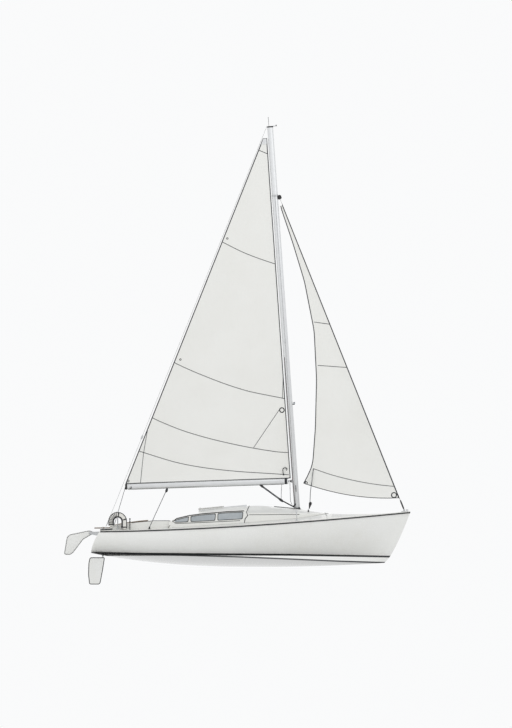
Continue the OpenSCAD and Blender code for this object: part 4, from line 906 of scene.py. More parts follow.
# Coamings, low beside the aft deck and rising to the cabin's wings, with rounded tops
coaming = {"x": (-3.1, -3.014, -2.616, -2.428, -2.126, -1.8, -1.752),
           "rise": (0.062, 0.118, 0.166, 0.180, 0.198, 0.186, 0.176),
           "inner": 0.6526, "width": 0.084}
coamX = np.unique(np.concatenate([np.linspace(-3.1, -1.752, 70), coaming["x"]]))
coamTop = sheerZ(coamX) + np.interp(coamX, coaming["x"], coaming["rise"])
coamTop[1:-1] = (coamTop[:-2] + 2 * coamTop[1:-1] + coamTop[2:]) / 4
y0, y1 = coaming["inner"], coaming["inner"] + coaming["width"]
ridge = np.linspace(0, np.pi / 2, 6)
# the rail's upper rim: rounded over inside and outside
upperY = np.concatenate([y0 + 0.014 * (1 - np.cos(ridge)), np.linspace(y0 + 0.02, y1 - 0.042, 4),
                         y1 - 0.036 + 0.020 * np.sin(ridge)])
upperZ = np.concatenate([-0.014 * (1 - np.sin(ridge)), np.full(4, 0.0008),
                         -0.020 * (1 - np.cos(ridge))])
low, lowOut = (deckTop(coamX, y)[:, None] + 0.0006 for y in (y0, y1))
ringY = np.concatenate([[y0], upperY, [y1]])[None]
ringZ = np.concatenate([low, np.maximum(coamTop[:, None] + upperZ[None], low), lowOut], axis=1)
for side, sideName in ((-1, "starboard"), (1, "port")):
    build("coaming_" + sideName, [loftMesh(point(coamX[:, None], side * ringY, ringZ))],
          plainGelcoat, 40, "hull", ["coaming_" + sideName])

# Sliding hatch: a domed lid with rounded corners, a dark seal and a grab handle
lid = {"aftX": -1.142, "length": 0.565, "half": 0.329, "thick": 0.026, "slope": 5.70676,
       "corner": 0.05, "lap": 0.012, "rims": ((0.012, 0.0), (0.002, 0.0004), (0.0, 0.004),
                                              (0.0, 0.014), (0.004, 0.019), (0.010, 0.0225),
                                              (0.05, 0.025), (0.11, 0.026), (0.2, 0.026))}
lidX = lid["length"] / 2 - lid["lap"]


def onRails(part):
    # from the lid's own frame, with its aft end at zero, to its place on the sloping rails
    railZ = float(crownZ(np.array(lid["aftX"]))) + 0.0293
    return tilted(part, (lid["aftX"], 0, railZ), -lid["slope"])


rings = []
for inset, height in lid["rims"]:
    outline = roundedBox2d(lid["length"] - 2 * inset, 2 * (lid["half"] - inset),
                           max(lid["corner"] - inset, 0.012), 8)
    rings.append(point(outline[:, 0] + lidX, outline[:, 1], height))
lips = [boxMesh((lid["length"] - 0.03, 0.012, 0.018), (lidX, s * (lid["half"] - 0.006), -0.0072),
                0.003) for s in (-1, 1)]
hatchParts = [onRails(part) for part in [loftMesh(np.stack(rings))] + lips]
build("hatch_lid", hatchParts, plainGelcoat, 40, "hatch", ["sliding_hatch"])
rimPath = roundedBox2d(lid["length"] - 0.001, 2 * lid["half"] - 0.001, lid["corner"], 8)
rimX, rimY = np.concatenate([rimPath, rimPath[:1]]).T
trim = [strapAlong(point(rimX + lidX, rimY, 0.0045), point(rimX, rimY, 0), 0.007, 0.0011),
        strapAlong(point(rimX * 0.985 + lidX, rimY * 0.985, lid["thick"] - 0.0068),
                   point(rimX * 0, 0, 1), 0.008, 0.0012),
        ropeMesh([(0.03, -0.11, 0.024), (0.03, -0.10, 0.034), (0.03, 0, 0.036),
                  (0.03, 0.10, 0.034), (0.03, 0.11, 0.024)], 0.006, 40, 10, (1, 0, 0))]
build("hatch_trim", [onRails(part) for part in trim], blackPlastic, 60, "hatch")
print("windows, cockpit and hatch made")


# Mast frame: a place so far forward of the mast's middle, to port, and up the mast
mastLine = {"foot": (1.006, 0, 1.05873), "rake": 4.05, "length": 8.338, "chord": 0.130,
            "width": 0.090, "hounds": 6.84}
rakeAngle = np.radians(mastLine["rake"])
mastUp = np.array([-np.sin(rakeAngle), 0, np.cos(rakeAngle)])
mastFore = np.array([np.cos(rakeAngle), 0, np.sin(rakeAngle)])
port = np.array([0.0, 1.0, 0.0])


def inFrame(origin, first, second, a, y, b):
    a, y, b = np.broadcast_arrays(a, y, b)
    return origin + a[..., None] * first + b[..., None] * second + y[..., None] * port


def onMast(fore, y, up):
    return inFrame(np.array(mastLine["foot"]), mastFore, mastUp, fore, y, up)


# Boom frame: aft along the boom from its hinge line, and up from its middle
boomLine = {"length": 3.634, "depth": 0.120, "width": 0.076, "start": 0.060, "cap": 0.045,
            "droop": 1.95, "hingeBack": 0.087, "height": 0.586}
pivot = onMast(-boomLine["hingeBack"], 0, boomLine["height"])
droopAngle = np.radians(boomLine["droop"])
boomAft = np.array([-np.cos(droopAngle), 0, -np.sin(droopAngle)])
boomUp = np.array([-np.sin(droopAngle), 0, np.cos(droopAngle)])


def onBoom(aft, y, up):
    return inFrame(pivot, boomAft, boomUp, aft, y, up)


def clothMap(piece, s, t):
    # a flat map in metres for the weave
    layer = piece.data.uv_layers.new(name="cloth")
    corner = np.empty(len(piece.data.loops), int)
    piece.data.loops.foreach_get("vertex_index", corner)
    flat = np.stack([s, t], axis=-1)[corner]
    layer.data.foreach_set("uv", flat.ravel().astype(np.float32))


def clothTapes(name, parts, material, body):
    # seams or tapes on a sail, mapped by their own X and Z
    piece = makeSolids(name, parts, material, 60)
    clothMap(piece, pointsOf(piece)[:, 0], pointsOf(piece)[:, 2])
    place(piece, body)


def clothArea(spot, s, t):
    # area of the middle sheet, which its hollow hardly changes
    grid = spot(s, t)
    a, b = grid[1:, 1:] - grid[:-1, :-1], grid[:-1, 1:] - grid[1:, :-1]
    return float(0.5 * np.linalg.norm(np.cross(a, b), axis=-1).sum())


def sailSheet(name, spot, cut, body, replaced):
    # panel between two faces; its rows are closer together near the foot
    near, rows = cut["footShare"], cut["rows"]
    s, t = np.meshgrid(np.linspace(0, 1, cut["columns"]), np.concatenate([
        near * np.linspace(0, 1, rows[0])[:-1] ** 2, np.linspace(near, 1, rows[1])]))
    slab = slabMesh(spot(s, t, -cut["thick"] / 2), spot(s, t, cut["thick"] / 2))
    piece = makePiece(name, *slab, mainCloth, 60)
    width, height = cut["map"]
    clothMap(piece, np.tile(s.ravel() * width, 2), np.tile(t.ravel() * height, 2))
    place(piece, body, [replaced])
    return piece, clothArea(spot, s, t)


def sailNormal(spot, s, t):
    middle = spot(s, t)
    return middle, unit(np.cross(spot(s + 1e-4, t) - middle, spot(s, t + 1e-4) - middle))


def bandOn(spot, s, t, width, low, high, side):
    # a strip on one face of a sail, along a line of shares
    middle, normal = sailNormal(spot, s, t)
    normal = normal * np.sign(normal[:, 1:2]) * side
    tangent = unit(np.gradient(middle, axis=0))
    across = unit(np.cross(tangent, normal)) * width / 2
    return loftMesh(np.stack([middle - across + low * normal, middle + across + low * normal,
                              middle + across + high * normal, middle - across + high * normal], 1))


def seamOn(spot, share, points, width):
    # a seam through points of [X, Z], on both faces of a sail
    x, z = curveThrough(points, 40).T
    s, t = (np.clip(k, 0.001, 0.999) for k in share(x, z))
    return [bandOn(spot, s, t, width, 0.0012, 0.0024, side) for side in (-1, 1)]


def edgeTapes(spot, edges):
    # tapes folded round a sail's edges; each runs along s or t with the other share fixed
    along, parts = np.linspace(0.0, 1.0, 90), []
    for fixed, share, width, thick in edges:
        still = np.full(90, share)
        s, t = (still, along) if fixed == "s" else (along, still)
        parts += [bandOn(spot, s, t, width, 0.0, thick, side) for side in (-1, 1)]
    return parts


def eyelet(spot, share, x, z, outer, inner, high=0.004):
    # a pressed ring through a sail, proud of both faces
    middle, normal = sailNormal(spot, *share(np.array([x]), np.array([z])))
    profile = [[inner, -high], [outer - 0.002, -high], [outer, -0.4 * high], [outer, 0.4 * high],
               [outer - 0.002, high], [inner, high], [inner - 0.0015, 0]]
    return hoopMesh(spunRings(profile, middle[0], normal[0], 28))


def cornerPlates(spot, sSpan, tSpan, low):
    # a thin plate on each face of a sail's corner
    s, t = np.meshgrid(np.linspace(*sSpan, 8), np.linspace(*tSpan, 8))
    return [slabMesh(spot(s, t, side * 0.0055), spot(s, t, side * low)) for side in (-1, 1)]


# Mainsail: a sheet between its luff (share 0) and its leech (share 1), hollowed to port
mainCut = {"tackAft": 0.012, "footLift": 0.0623, "clewAft": 3.622, "headUp": 8.11,
           "headWidth": 0.070, "camber": 0.04, "thick": 0.0028, "luffBack": 0.093,
           "map": (3.6, 7.6), "columns": 60, "footShare": 0.05, "rows": (16, 110)}
mainTack = onBoom(mainCut["tackAft"], 0, mainCut["footLift"])
mainClew = onBoom(mainCut["clewAft"], 0, mainCut["footLift"])
mainHead = onMast(-mainCut["luffBack"], 0, mainCut["headUp"])
mainPeak = mainHead - mainCut["headWidth"] * mastFore


def mainEnds(t):
    return mix(mainTack, mainHead, t[..., None]), mix(mainClew, mainPeak, t[..., None])


def mainPoint(s, t, out=0.0):
    s, t = np.broadcast_arrays(np.asarray(s, float), np.asarray(t, float))
    a, b = mainEnds(t)
    width = np.linalg.norm(b - a, axis=-1)
    bow = 4 * s * (1 - s)
    depth = width * mainCut["camber"] * np.sin(np.pi * np.clip(t, 0, 1) ** 0.6) * bow
    # faint creases fan up from the tack and the clew and pull in along the leech
    crease = 0.0016 * np.sin(9 * np.pi * t + 5 * s) * bow * np.minimum(1, width)
    return mix(a, b, s[..., None]) + (depth + crease + out)[..., None] * port


def mainShare(x, z):
    # the s and t where the sail has this X and Z
    s, t = np.full(x.shape, 0.5), np.clip((z - mainTack[2]) / (mainHead[2] - mainTack[2]), 0, 1)
    for _ in range(25):
        a, b = mainEnds(t)
        s = (x - a[..., 0]) / (b[..., 0] - a[..., 0])
        t = t + (z - mix(a[..., 2], b[..., 2], s)) / 7.5
    return s, t


mainsail, mainArea = sailSheet("mainsail_cloth", mainPoint, mainCut, "boom", "mainsail")
seams = [[(0.155, 8.884), (0.394, 8.783)],
         [(-0.656, 6.884), (-0.203, 6.657), (0.173, 6.508), (0.562, 6.377)],
         [(-1.698, 4.237), (-1.258, 4.036), (-0.656, 3.797), (-0.203, 3.646), (0.098, 3.570),
          (0.750, 3.441)],
         [(-2.155, 3.021), (-1.936, 2.920), (-1.459, 2.732), (-0.858, 2.557), (-0.153, 2.398),
          (0.499, 2.288), (0.847, 2.260)],
         [(-2.443, 2.293), (-1.660, 2.054), (-1.006, 1.929), (-0.328, 1.853), (0.223, 1.816),
          (0.827, 1.778)]]
reefLines = [[(-2.262, 2.769), (-2.351, 2.231), (-2.419, 1.590)], [(0.612, 3.192), (0.056, 2.369)]]
seamParts = [part for lines, width in ((seams, 0.016), (reefLines, 0.013)) for line in lines
             for part in seamOn(mainPoint, mainShare, line, width)]
clothTapes("mainsail_seams", seamParts, seamTape, "boom")
clothTapes("mainsail_tapes", edgeTapes(mainPoint, (
    ("s", 0.9985, 0.022, 0.0028), ("s", 0.0015, 0.020, 0.0030), ("t", 0.001, 0.018, 0.0030),
    ("t", 0.9985, 0.018, 0.0030))), edgeTape, "boom")
mainEyes = [eyelet(mainPoint, mainShare, *eye) for eye in (
    (0.676, 3.192, 0.062, 0.040), (-0.518, 6.946, 0.024, 0.012), (-1.545, 4.298, 0.024, 0.012),
    (-2.690, 1.640, 0.030, 0.015))]
build("mainsail_eyelets", mainEyes, darkAlloy, 50, "boom")
build("head_board", cornerPlates(mainPoint, (0.04, 0.96), (0.982, 0.9985), 0.0012),
      anodisedAlloy, 50, "boom")

# Jib: hollow leech, rounded foot, hollowed to port
stayFoot = np.array([3.35, 0, 1.00807])
stayHead = onMast(mastLine["chord"] / 2 + 0.0175, 0, mastLine["hounds"])
stayUp = unit(stayHead - stayFoot)
stayBack = np.array([-stayUp[2], 0, stayUp[0]])
jibCut = {"tackUp": 0.28, "luffOff": 0.0061, "luff": 6.90, "clewBack": 2.095, "clewRise": 0.322,
          "headWidth": 0.045, "camber": 0.05, "footRound": 0.110, "thick": 0.0024,
          "leechShare": (0, .035, .07, .2, .375, .55, .73, .87, 1),
          "leechHollow": (0, .130, .235, .360, .475, .512, .388, .200, 0),
          "map": (2.1, 6.9), "columns": 40, "footShare": 0.1, "rows": (30, 90)}
jibTack = stayFoot + jibCut["tackUp"] * stayUp + jibCut["luffOff"] * stayBack
jibHead = jibTack + jibCut["luff"] * stayUp
jibClew = jibTack + np.array([-jibCut["clewBack"], 0, jibCut["clewRise"]])
jibPeak = jibHead + jibCut["headWidth"] * stayBack


def jibLeech(t):
    # the leech's hollow, eased over nine steps except close to the clew
    fine = np.linspace(0, 1, 201)
    hollow = np.interp(fine, jibCut["leechShare"], jibCut["leechHollow"])
    soft = np.convolve(np.pad(hollow, 4, mode="edge"), np.ones(9) / 9, mode="valid")
    return np.interp(t, fine, np.where(fine < 0.03, hollow, soft))


def jibEnds(t):
    hollow = jibLeech(np.clip(t, 0, 1))[..., None] * np.array([1.0, 0, 0])
    return mix(jibTack, jibHead, t[..., None]), mix(jibClew, jibPeak, t[..., None]) + hollow


def jibPoint(s, t, out=0.0):
    s, t = np.broadcast_arrays(np.asarray(s, float), np.asarray(t, float))
    tight = np.clip(t, 0, 1)
    a, b = jibEnds(t)
    width = np.linalg.norm(b - a, axis=-1)
    bow = 4 * s * (1 - s)
    depth = width * jibCut["camber"] * np.sin(np.pi * tight ** 0.6) * bow
    crease = 0.0014 * np.sin(8 * np.pi * t + 4 * s) * bow * np.minimum(1, width)
    drop = jibCut["footRound"] * bow * (1 - tight) ** 8
    return (mix(a, b, s[..., None]) + (depth + crease + out)[..., None] * port
            - drop[..., None] * np.array([0, 0, 1.0]))


def jibShare(x, z):
    s, t = np.full(x.shape, 0.5), np.clip((z - 1.3) / 6.4, 0, 1)
    for _ in range(60):
        a, b = jibEnds(t)
        s = np.clip((x - a[..., 0]) / (b[..., 0] - a[..., 0]), -0.02, 1.02)
        t = np.clip(t + 0.6 * (z - jibPoint(s, t)[..., 2]) / 6.4, -0.01, 1.01)
    return s, t


jib, jibArea = sailSheet("jib_cloth", jibPoint, jibCut, "jib", "jib")
jibLines = [[(1.363, 1.912), (1.774, 1.772), (2.275, 1.647), (2.750, 1.564), (3.155, 1.520)],
            [(1.380, 5.118), (1.754, 5.066)], [(1.460, 4.170), (2.137, 4.121)]]
clothTapes("jib_seams", [part for line in jibLines for part in
                         seamOn(jibPoint, jibShare, line, 0.015)], seamTape, "jib")
clothTapes("jib_tapes", edgeTapes(jibPoint, (
    ("s", 0.9975, 0.020, 0.0026), ("s", 0.003, 0.018, 0.0026), ("t", 0.0012, 0.016, 0.0026))),
    edgeTape, "jib")
jibEyes = [eyelet(jibPoint, jibShare, 3.128, 1.332, 0.066, 0.044),
           eyelet(jibPoint, jibShare, 1.205, 1.600, 0.036, 0.020)]
build("jib_eyelets", jibEyes, darkAlloy, 50, "jib")
print("sails made")


# Finishes for the nodes that keep their own shape
finishes = ((wireStrand, "forestay backstay shroud_port shroud_starboard"),
            (darkAlloy, "gooseneck_knuckle jib_track mast_step masthead_fitting stern_post"),
            (stainless, "bow_fitting buoy_bracket chainplates gooseneck_bracket hounds_fitting "
                        "lifting_rudder_bracket rudder_tube stern_eyes"),
            (anodisedAlloy, "hatch_rails spreaders"), (blackPlastic, "boom_end_cap"),
            (strapWeb, "jib_luff_tape"), (linerGelcoat, "cabin_liner centreboard_case"),
            (plainGelcoat, "cabin_bulkhead"), (foilGelcoat, "centreboard"), (wood, "tiller"))
for material, names in finishes:
    for name in names.split():
        slots = nodes[name].data.materials
        for i in range(len(slots)):
            slots[i] = material


# Spars: round-ended sections with a sail groove along one end
spars = {"groove": 0.0045, "depth": 0.012, "ease": 0.002}


def sparSection(depth, width, grow=0.0):
    # three arcs round the section, then the groove between its lips
    half, r = depth / 2, width / 2
    cut = np.arcsin(spars["groove"] / r)
    arcs = ((np.pi + cut, 1.5 * np.pi, -1), (1.5 * np.pi, 2.5 * np.pi, 1),
            (2.5 * np.pi, 3 * np.pi - cut, -1))
    lips = []
    for start, end, sign in arcs:
        t = np.linspace(start, end, 12)
        x = sign * (half - r) + (r + grow) * np.cos(t)
        lips.append(np.stack([x, (r + grow) * np.sin(t)], axis=-1))
    groove = spars["groove"] * np.array([[0, 1], [0, -1]]) + [spars["depth"] - half, 0]
    return np.concatenate(lips + [groove])


def sparMesh(frameOf, section, low, high):
    # frameOf(a, y, along) places the section's points along the spar
    along = np.array([low, low + spars["ease"], high - spars["ease"], high])
    scale = np.array([0.985, 1, 1, 0.985])[:, None]
    a, y = section[None, :, 0] * scale, section[None, :, 1] * scale
    return loftMesh(frameOf(a, y, along[:, None]))


def boomMesh(grow, low, high):
    section = sparSection(boomLine["depth"], boomLine["width"], grow)
    return sparMesh(lambda a, y, along: onBoom(along, y, -a), section, low, high)


mastSection = sparSection(mastLine["chord"], mastLine["width"])
build("mast_tube", [sparMesh(onMast, mastSection, 0.0, mastLine["length"])], anodisedAlloy, 35,
      "hull", ["mast"])
boomTube = boomMesh(0.0, boomLine["start"], boomLine["length"] - boomLine["cap"])
build("boom_tube", [boomTube], boomAlloy, 35, "boom", ["boom"])

# Boom castings: a collar at its fore end, an outhaul block aft, a track under it, and at the
# gooseneck a ring and a disc on each side
gooseneck = {"x": 0.840, "y": 0.023, "z": 1.637}


def besideGooseneck(profile):
    return [spunMesh(profile, (gooseneck["x"], s * gooseneck["y"], gooseneck["z"]), (0, s, 0))
            for s in (-1, 1)]


castings = [boomMesh(0.003, 0.088, 0.142)]
castings += besideGooseneck([[0.017, -0.004], [0.0235, -0.004], [0.0245, 0], [0.0235, 0.004],
                             [0.018, 0.004], [0.017, 0]])
castings.append(rodMesh(onBoom(0.16, 0, -0.0605), onBoom(3.57, 0, -0.0605), 0.0065, 10))
castings += [boxMesh(size, centre, 0.004) for size, centre in (
    ((0.030, 0.024, 0.026), (0.852, 0, 1.712)), ((0.050, 0.018, 0.020), (-2.634, -0.044, 1.482)),
    ((0.014, 0.018, 0.040), (-2.622, -0.044, 1.500)))]
build("boom_castings", castings, darkAlloy, 40, "boom")
discs = besideGooseneck([[0.001, -0.003], [0.018, -0.003], [0.018, 0.0015], [0.008, 0.003],
                         [0.001, 0.003]])
build("gooseneck_discs", discs, anodisedAlloy, 40, "boom")


# Running rigging. A block is two oval cheeks with a sheave between them
def blockParts(centre, along, length, width, thick):
    angle = np.arctan2(along[1], along[0])
    turn = np.array([[np.cos(angle), np.sin(angle)], [-np.sin(angle), np.cos(angle)]])
    oval = circle(0.5, 32) * [length, width] @ turn + [centre[0], centre[2]]
    low, high, cheek = centre[1] - thick / 2, centre[1] + thick / 2, 0.28 * thick
    sheave = np.array([[0.001, -0.5], [0.36, -0.5], [0.28, 0], [0.36, 0.5], [0.001, 0.5]])
    return [plateMesh(oval, low, low + cheek, 0.002), plateMesh(oval, high - cheek, high, 0.002),
            spunMesh(sheave * [width, 0.44 * thick], centre, (0, 1, 0), 20)]


# Vang: its foot sits on the boom's own hinge line, so that it swings with the boom
vang = {"top": (0.228, 0, 1.535), "low": (0.658, 0, 1.222), "foot": (0.912, 0, 1.088),
        "purchase": 0.0065, "spread": 0.0125, "tail": 0.0055, "rod": 0.014}
top, low, foot = (np.array(vang[key]) for key in ("top", "low", "foot"))
down = (low - top)[[0, 2]]
hanger = roundedOutline([(0.170, 1.566), (0.262, 1.562), (0.250, 1.520), (0.200, 1.524)], 0.01)
vangBlocks = blockParts(top + [0.014, 0, -0.010], down, 0.095, 0.052, 0.034)
vangBlocks += blockParts(low, down, 0.130, 0.056, 0.036)
vangBlocks += [plateMesh(hanger, -0.008, 0.008, 0.002),
               rodMesh(mix(low, foot, 0.2), foot, vang["rod"])]
build("vang_blocks", vangBlocks, blackPlastic, 45, "boom")
beside = unit(np.array([-down[1], 0, down[0]])) * vang["spread"]
vangRopes = [rodMesh(top + k * beside, low + k * beside, vang["purchase"], 10) for k in (-1, 0, 1)]
vangRopes += [ropeMesh(line, vang["tail"], 30) for line in (
    [(0.674, -0.03, 1.575), (0.666, -0.036, 1.46), (0.660, -0.03, 1.30), (0.658, -0.018, 1.235)],
    [(0.851, -0.020, 1.600), (0.856, -0.022, 1.42), (0.866, -0.018, 1.205),
     (0.898, -0.008, 1.126)])]
build("vang_ropes", vangRopes, sheetRope, 60, "boom")
tang = roundedOutline([(0.958, 1.112), (0.912, 1.106), (0.896, 1.088), (0.912, 1.068),
                       (0.958, 1.060)], 0.01)
footParts = [plateMesh(tang, y - 0.003, y + 0.003, 0.001) for y in (-0.014, 0.014)]
footParts.append(rodMesh((0.912, -0.022, 1.088), (0.912, 0.022, 1.088), 0.008))
footParts += blockParts((0.962, -0.062, 1.120), (0.1, 1), 0.052, 0.034, 0.022)
build("mast_foot_tangs", footParts, darkAlloy, 40, "hull")
halyardFore, halyardSide, halyardUp = np.array([
    (-0.046, 0.047, 3.30), (-0.048, 0.046, 2.2), (-0.050, 0.045, 0.75), (-0.050, 0.045, 0.50),
    (-0.046, 0.050, 0.22), (-0.042, 0.058, 0.075)]).T
halyards = [ropeMesh(onMast(halyardFore, s * halyardSide, halyardUp), 0.0055, 80, 8)
            for s in (-1, 1)]
build("halyards", halyards, halyardRope, 60, "hull")

# Mast furniture: steaming light, two cleats, and the round fitting at the head of the forestay
furniture = [boxMesh((0.052, 0.034, 0.020), (0.930, 0, 3.318), 0.003),
             boxMesh((0.034, 0.050, 0.012), (0.944, 0, 3.362), 0.003)]
for s in (-1, 1):
    base = onMast(0.005, s * 0.052, 0.42)
    furniture += [boxMesh((0.018, 0.020, 0.040), base, 0.003),
                  rodMesh(base + [0.006, s * 0.012, -0.07], base + [-0.006, s * 0.012, 0.07], 0.007)]
furniture.append(spunMesh([[0.001, -0.048], [0.026, -0.048], [0.046, -0.026], [0.046, 0.026],
                           [0.026, 0.048], [0.001, 0.048]], stayFoot + 7.365 * stayUp, stayUp))
build("mast_furniture", furniture, blackPlastic, 40, "hull")
steamingLens = spunMesh([[0.001, -0.018], [0.019, -0.018], [0.022, -0.008], [0.022, 0.010],
                         [0.018, 0.017], [0.001, 0.017]], (0.944, 0, 3.340), (0, 0, 1))
build("light_lens", [steamingLens], paneAcrylic, 40, "hull")

# Reef hook beside the mast, and the thin strip above it
hookLine = [(0.715, -0.012, 1.782), (0.700, -0.014, 1.842), (0.697, -0.014, 1.892),
            (0.716, -0.014, 1.922), (0.757, -0.014, 1.932), (0.789, -0.014, 1.902),
            (0.770, -0.014, 1.872)]
hookParts = [ropeMesh(hookLine, 0.0075, 50, 10),
             spunMesh([[0.001, 0], [0.017, 0], [0.017, 0.006], [0.012, 0.010], [0.001, 0.010]],
                      (0.715, -0.004, 1.782), (0, -1, 0))]
build("reef_hook", hookParts, darkAlloy, 50, "boom")
clothTapes("luff_strips", seamOn(mainPoint, mainShare, [(0.700, 4.036), (0.697, 3.75),
                                                        (0.687, 3.456)], 0.012), seamTape, "boom")


# Sheets: each rope's lower end is on the deck and its upper end at the boom or the jib; neither end
# is attached to a body
def movingRope(name, line, radius, count):
    piece = makeSolids(name, [ropeMesh(line, radius, count, 8)], sheetRope, 60)
    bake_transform(piece)


# Mainsheet over the starboard coaming, a second part from the boom's end to the aft deck, and
# the jib sheet from the reef eye past the foot to a pear-shaped block on the track
sheets = {"main": (("mainsheet", (-1.862, 0, 1.412), (-2.222, -0.950, 0.628), 0.0075),
                   ("mainsheet_tail", (-2.760, 0, 1.470), (-3.010, -0.600, 0.612), 0.006)),
          "jib": [(1.365, -0.010, 1.916), (1.335, -0.020, 1.66), (1.302, -0.026, 1.42),
                  (1.290, -0.030, 1.18)], "jibRadius": 0.0075}
for name, head, foot, radius in sheets["main"]:
    line = [tuple(mix(np.array(head), np.array(foot), k)) for k in np.linspace(0, 1, 8)]
    movingRope(name, line, radius, 60)
boomBlock = blockParts((-1.846, 0, 1.436), (0.35, 1.0), 0.098, 0.056, 0.030)
boomBlock += [rodMesh((-1.838, 0, 1.470), (-1.834, 0, 1.500), 0.009),
              rodMesh((-2.752, 0, 1.500), (-2.758, 0, 1.468), 0.009)]
build("boom_blocks", boomBlock, blackPlastic, 45, "boom")
deckSpot, aftSpot = (float(deckTop(np.array(x), np.array(y))) for x, y in
                     ((-2.224, 0.95), (-3.01, 0.6)))
deckBlocks = blockParts((-2.222, -0.950, deckSpot + 0.030), (0.2, 1.0), 0.052, 0.036, 0.024)
deckBlocks += [boxMesh((0.070, 0.045, 0.010), (-2.224, -0.950, deckSpot + 0.004), 0.002),
               boxMesh((0.050, 0.035, 0.008), (-3.010, -0.600, aftSpot + 0.003), 0.002),
               rodMesh((-3.010, -0.600, aftSpot + 0.004), (-3.010, -0.600, aftSpot + 0.034), 0.008)]
build("deck_blocks", deckBlocks, blackPlastic, 45, "hull")
movingRope("jib_sheet", sheets["jib"], sheets["jibRadius"], 50)
pear = [[0.001, -0.110], [0.010, -0.108], [0.015, -0.07], [0.030, -0.012], [0.034, 0.012],
        [0.028, 0.034], [0.012, 0.046], [0.001, 0.047]]
build("jib_lead_block", [spunMesh(pear, (1.296, -0.030, 1.138), (0.24, 0, 1.0))], blackPlastic,
      45, "hull")
tackTube = [[0.001, 0.005], [0.013, 0.005], [0.017, 0.03], [0.017, 0.17], [0.011, 0.214],
            [0.001, 0.216]]
corners = cornerPlates(jibPoint, (0.984, 0.9985), (0.0005, 0.010), 0.001)
build("jib_corners", corners + [spunMesh(tackTube, stayFoot + 0.018 * stayUp, stayUp)], strapWeb,
      50, "jib")

# Backstay: the plate where one wire becomes two, and the rigging screws of stays and shrouds
stayParts = [spunMesh([[0.001, -0.055], [0.012, -0.05], [0.019, -0.02], [0.019, 0.02],
                       [0.010, 0.05], [0.001, 0.055]], (-2.3856, 0, 2.600), (0.37, 0, 0.93))]
screw = [[0.001, 0.045], [0.0065, 0.045], [0.010, 0.06], [0.010, 0.19], [0.0065, 0.205],
         [0.001, 0.205]]
for s in (-1, 1):
    for start, end in (((-3.18, s * 0.6, 0.6221), (-2.3856, 0, 2.6)),
                       ((1.0, s * 0.9792, 0.8205), onMast(0.0, s * 0.45, 3.62))):
        stayParts.append(spunMesh(screw, start, np.array(end) - start, 16))
build("rigging_screws", stayParts, stainless, 40, "hull")
print("rig made")


# Main rudder: a blade with eased edges under the hull, on a steel stock
steer = {"stockX": -3.24, "top": -0.030, "radius": 0.016, "edge": 0.0125, "half": 0.018,
         "corners": ((-0.040, 0.020), (-0.030, 0.0), (0.262, 0.0), (0.291, 0.018), (0.314, 0.130),
                     (0.322, 0.375), (0.300, 0.575), (0.272, 0.592), (0.084, 0.592), (0.054, 0.560),
                     (0.0, 0.270)),
         "pivot": (-3.520, 0.505), "liftY": 0.450,
         "lift": ((0.058, 0.034), (-0.020, 0.052), (-0.430, -0.032), (-0.478, -0.060),
                  (-0.508, -0.100), (-0.566, -0.446), (-0.550, -0.474), (-0.440, -0.480),
                  (-0.372, -0.434), (-0.150, -0.142), (0.048, -0.026))}
bladeLine = roundedOutline(np.array([steer["stockX"], steer["top"]]) - steer["corners"], 0.02, 6)
bladeSolid = plateMesh(bladeLine, -steer["half"], steer["half"], steer["edge"], 6)
build("main_blade", [bladeSolid], foilGelcoat, 50, "rudder", ["rudder_blade"])
pinX = steer["stockX"] - 0.004
stock = [rodMesh((steer["stockX"], 0, -0.13), (steer["stockX"], 0, 0.6380), steer["radius"], 24),
         rodMesh((pinX, -0.036, 0.622), (pinX, 0.036, 0.622), 0.005)]
build("rudder_stock", stock, stainless, 40, "rudder")

# Lifting rudder: a kick-up blade with a dark binding round its edge, and its pivot bolt
liftLine = roundedOutline(np.array(steer["lift"]) + steer["pivot"], 0.026, 6)
y0, y1 = steer["liftY"] - 0.014, steer["liftY"] + 0.014
build("lifting_blade", [plateMesh(liftLine, y0, y1, 0.009, 6)], foilGelcoat, 50,
      "lifting_rudder", ["lifting_rudder_blade"])


def edgeBand(outline, low, high):
    # binding that laps over the rim of a plate on both faces
    inward = inwardOf(outline)
    inner, outer = outline + 0.016 * inward, outline - 0.0012 * inward
    return hoopMesh(np.stack([point(line[:, 0], y, line[:, 1]) for line, y in
                              ((inner, low), (outer, low + 0.003), (outer, high - 0.003),
                               (inner, high))]))


build("lifting_binding", [edgeBand(liftLine, y0 - 0.001, y1 + 0.001)], gasketRubber, 60,
      "lifting_rudder")
build("main_binding", [edgeBand(bladeLine, -0.019, 0.019)], gasketRubber, 60, "rudder")
pivotX, pivotZ = steer["pivot"]
boltHead = [[0.001, 0], [0.016, 0], [0.016, 0.004], [0.010, 0.009], [0.001, 0.010]]
bolt = [spunMesh(boltHead, (pivotX, steer["liftY"] + s * 0.0268, pivotZ), (0, s, 0))
        for s in (-1, 1)]
build("lifting_bolt", bolt, stainless, 40, "hull")

# Horseshoe buoy: a padded arch in a sewn cover, with piping, straps and a lashed float line
buoy = {"x": -2.916, "y": -0.8116, "archZ": 0.7594, "radius": 0.1455, "foreFoot": 0.5815,
        "aftFoot": 0.6520, "halfWidth": 0.0540, "halfThick": 0.0445}
bend = np.linspace(0, np.pi, 61)
lineX = buoy["x"] + buoy["radius"] * np.concatenate([np.ones(23), np.cos(bend), -np.ones(19)])
lineZ = np.concatenate([np.linspace(buoy["foreFoot"], buoy["archZ"], 24)[:-1],
                        buoy["archZ"] + buoy["radius"] * np.sin(bend),
                        np.linspace(buoy["archZ"], buoy["aftFoot"], 20)[1:]])
spine = point(lineX, buoy["y"], lineZ)
run = np.concatenate([[0], np.cumsum(np.linalg.norm(np.diff(spine, axis=0), axis=1))])
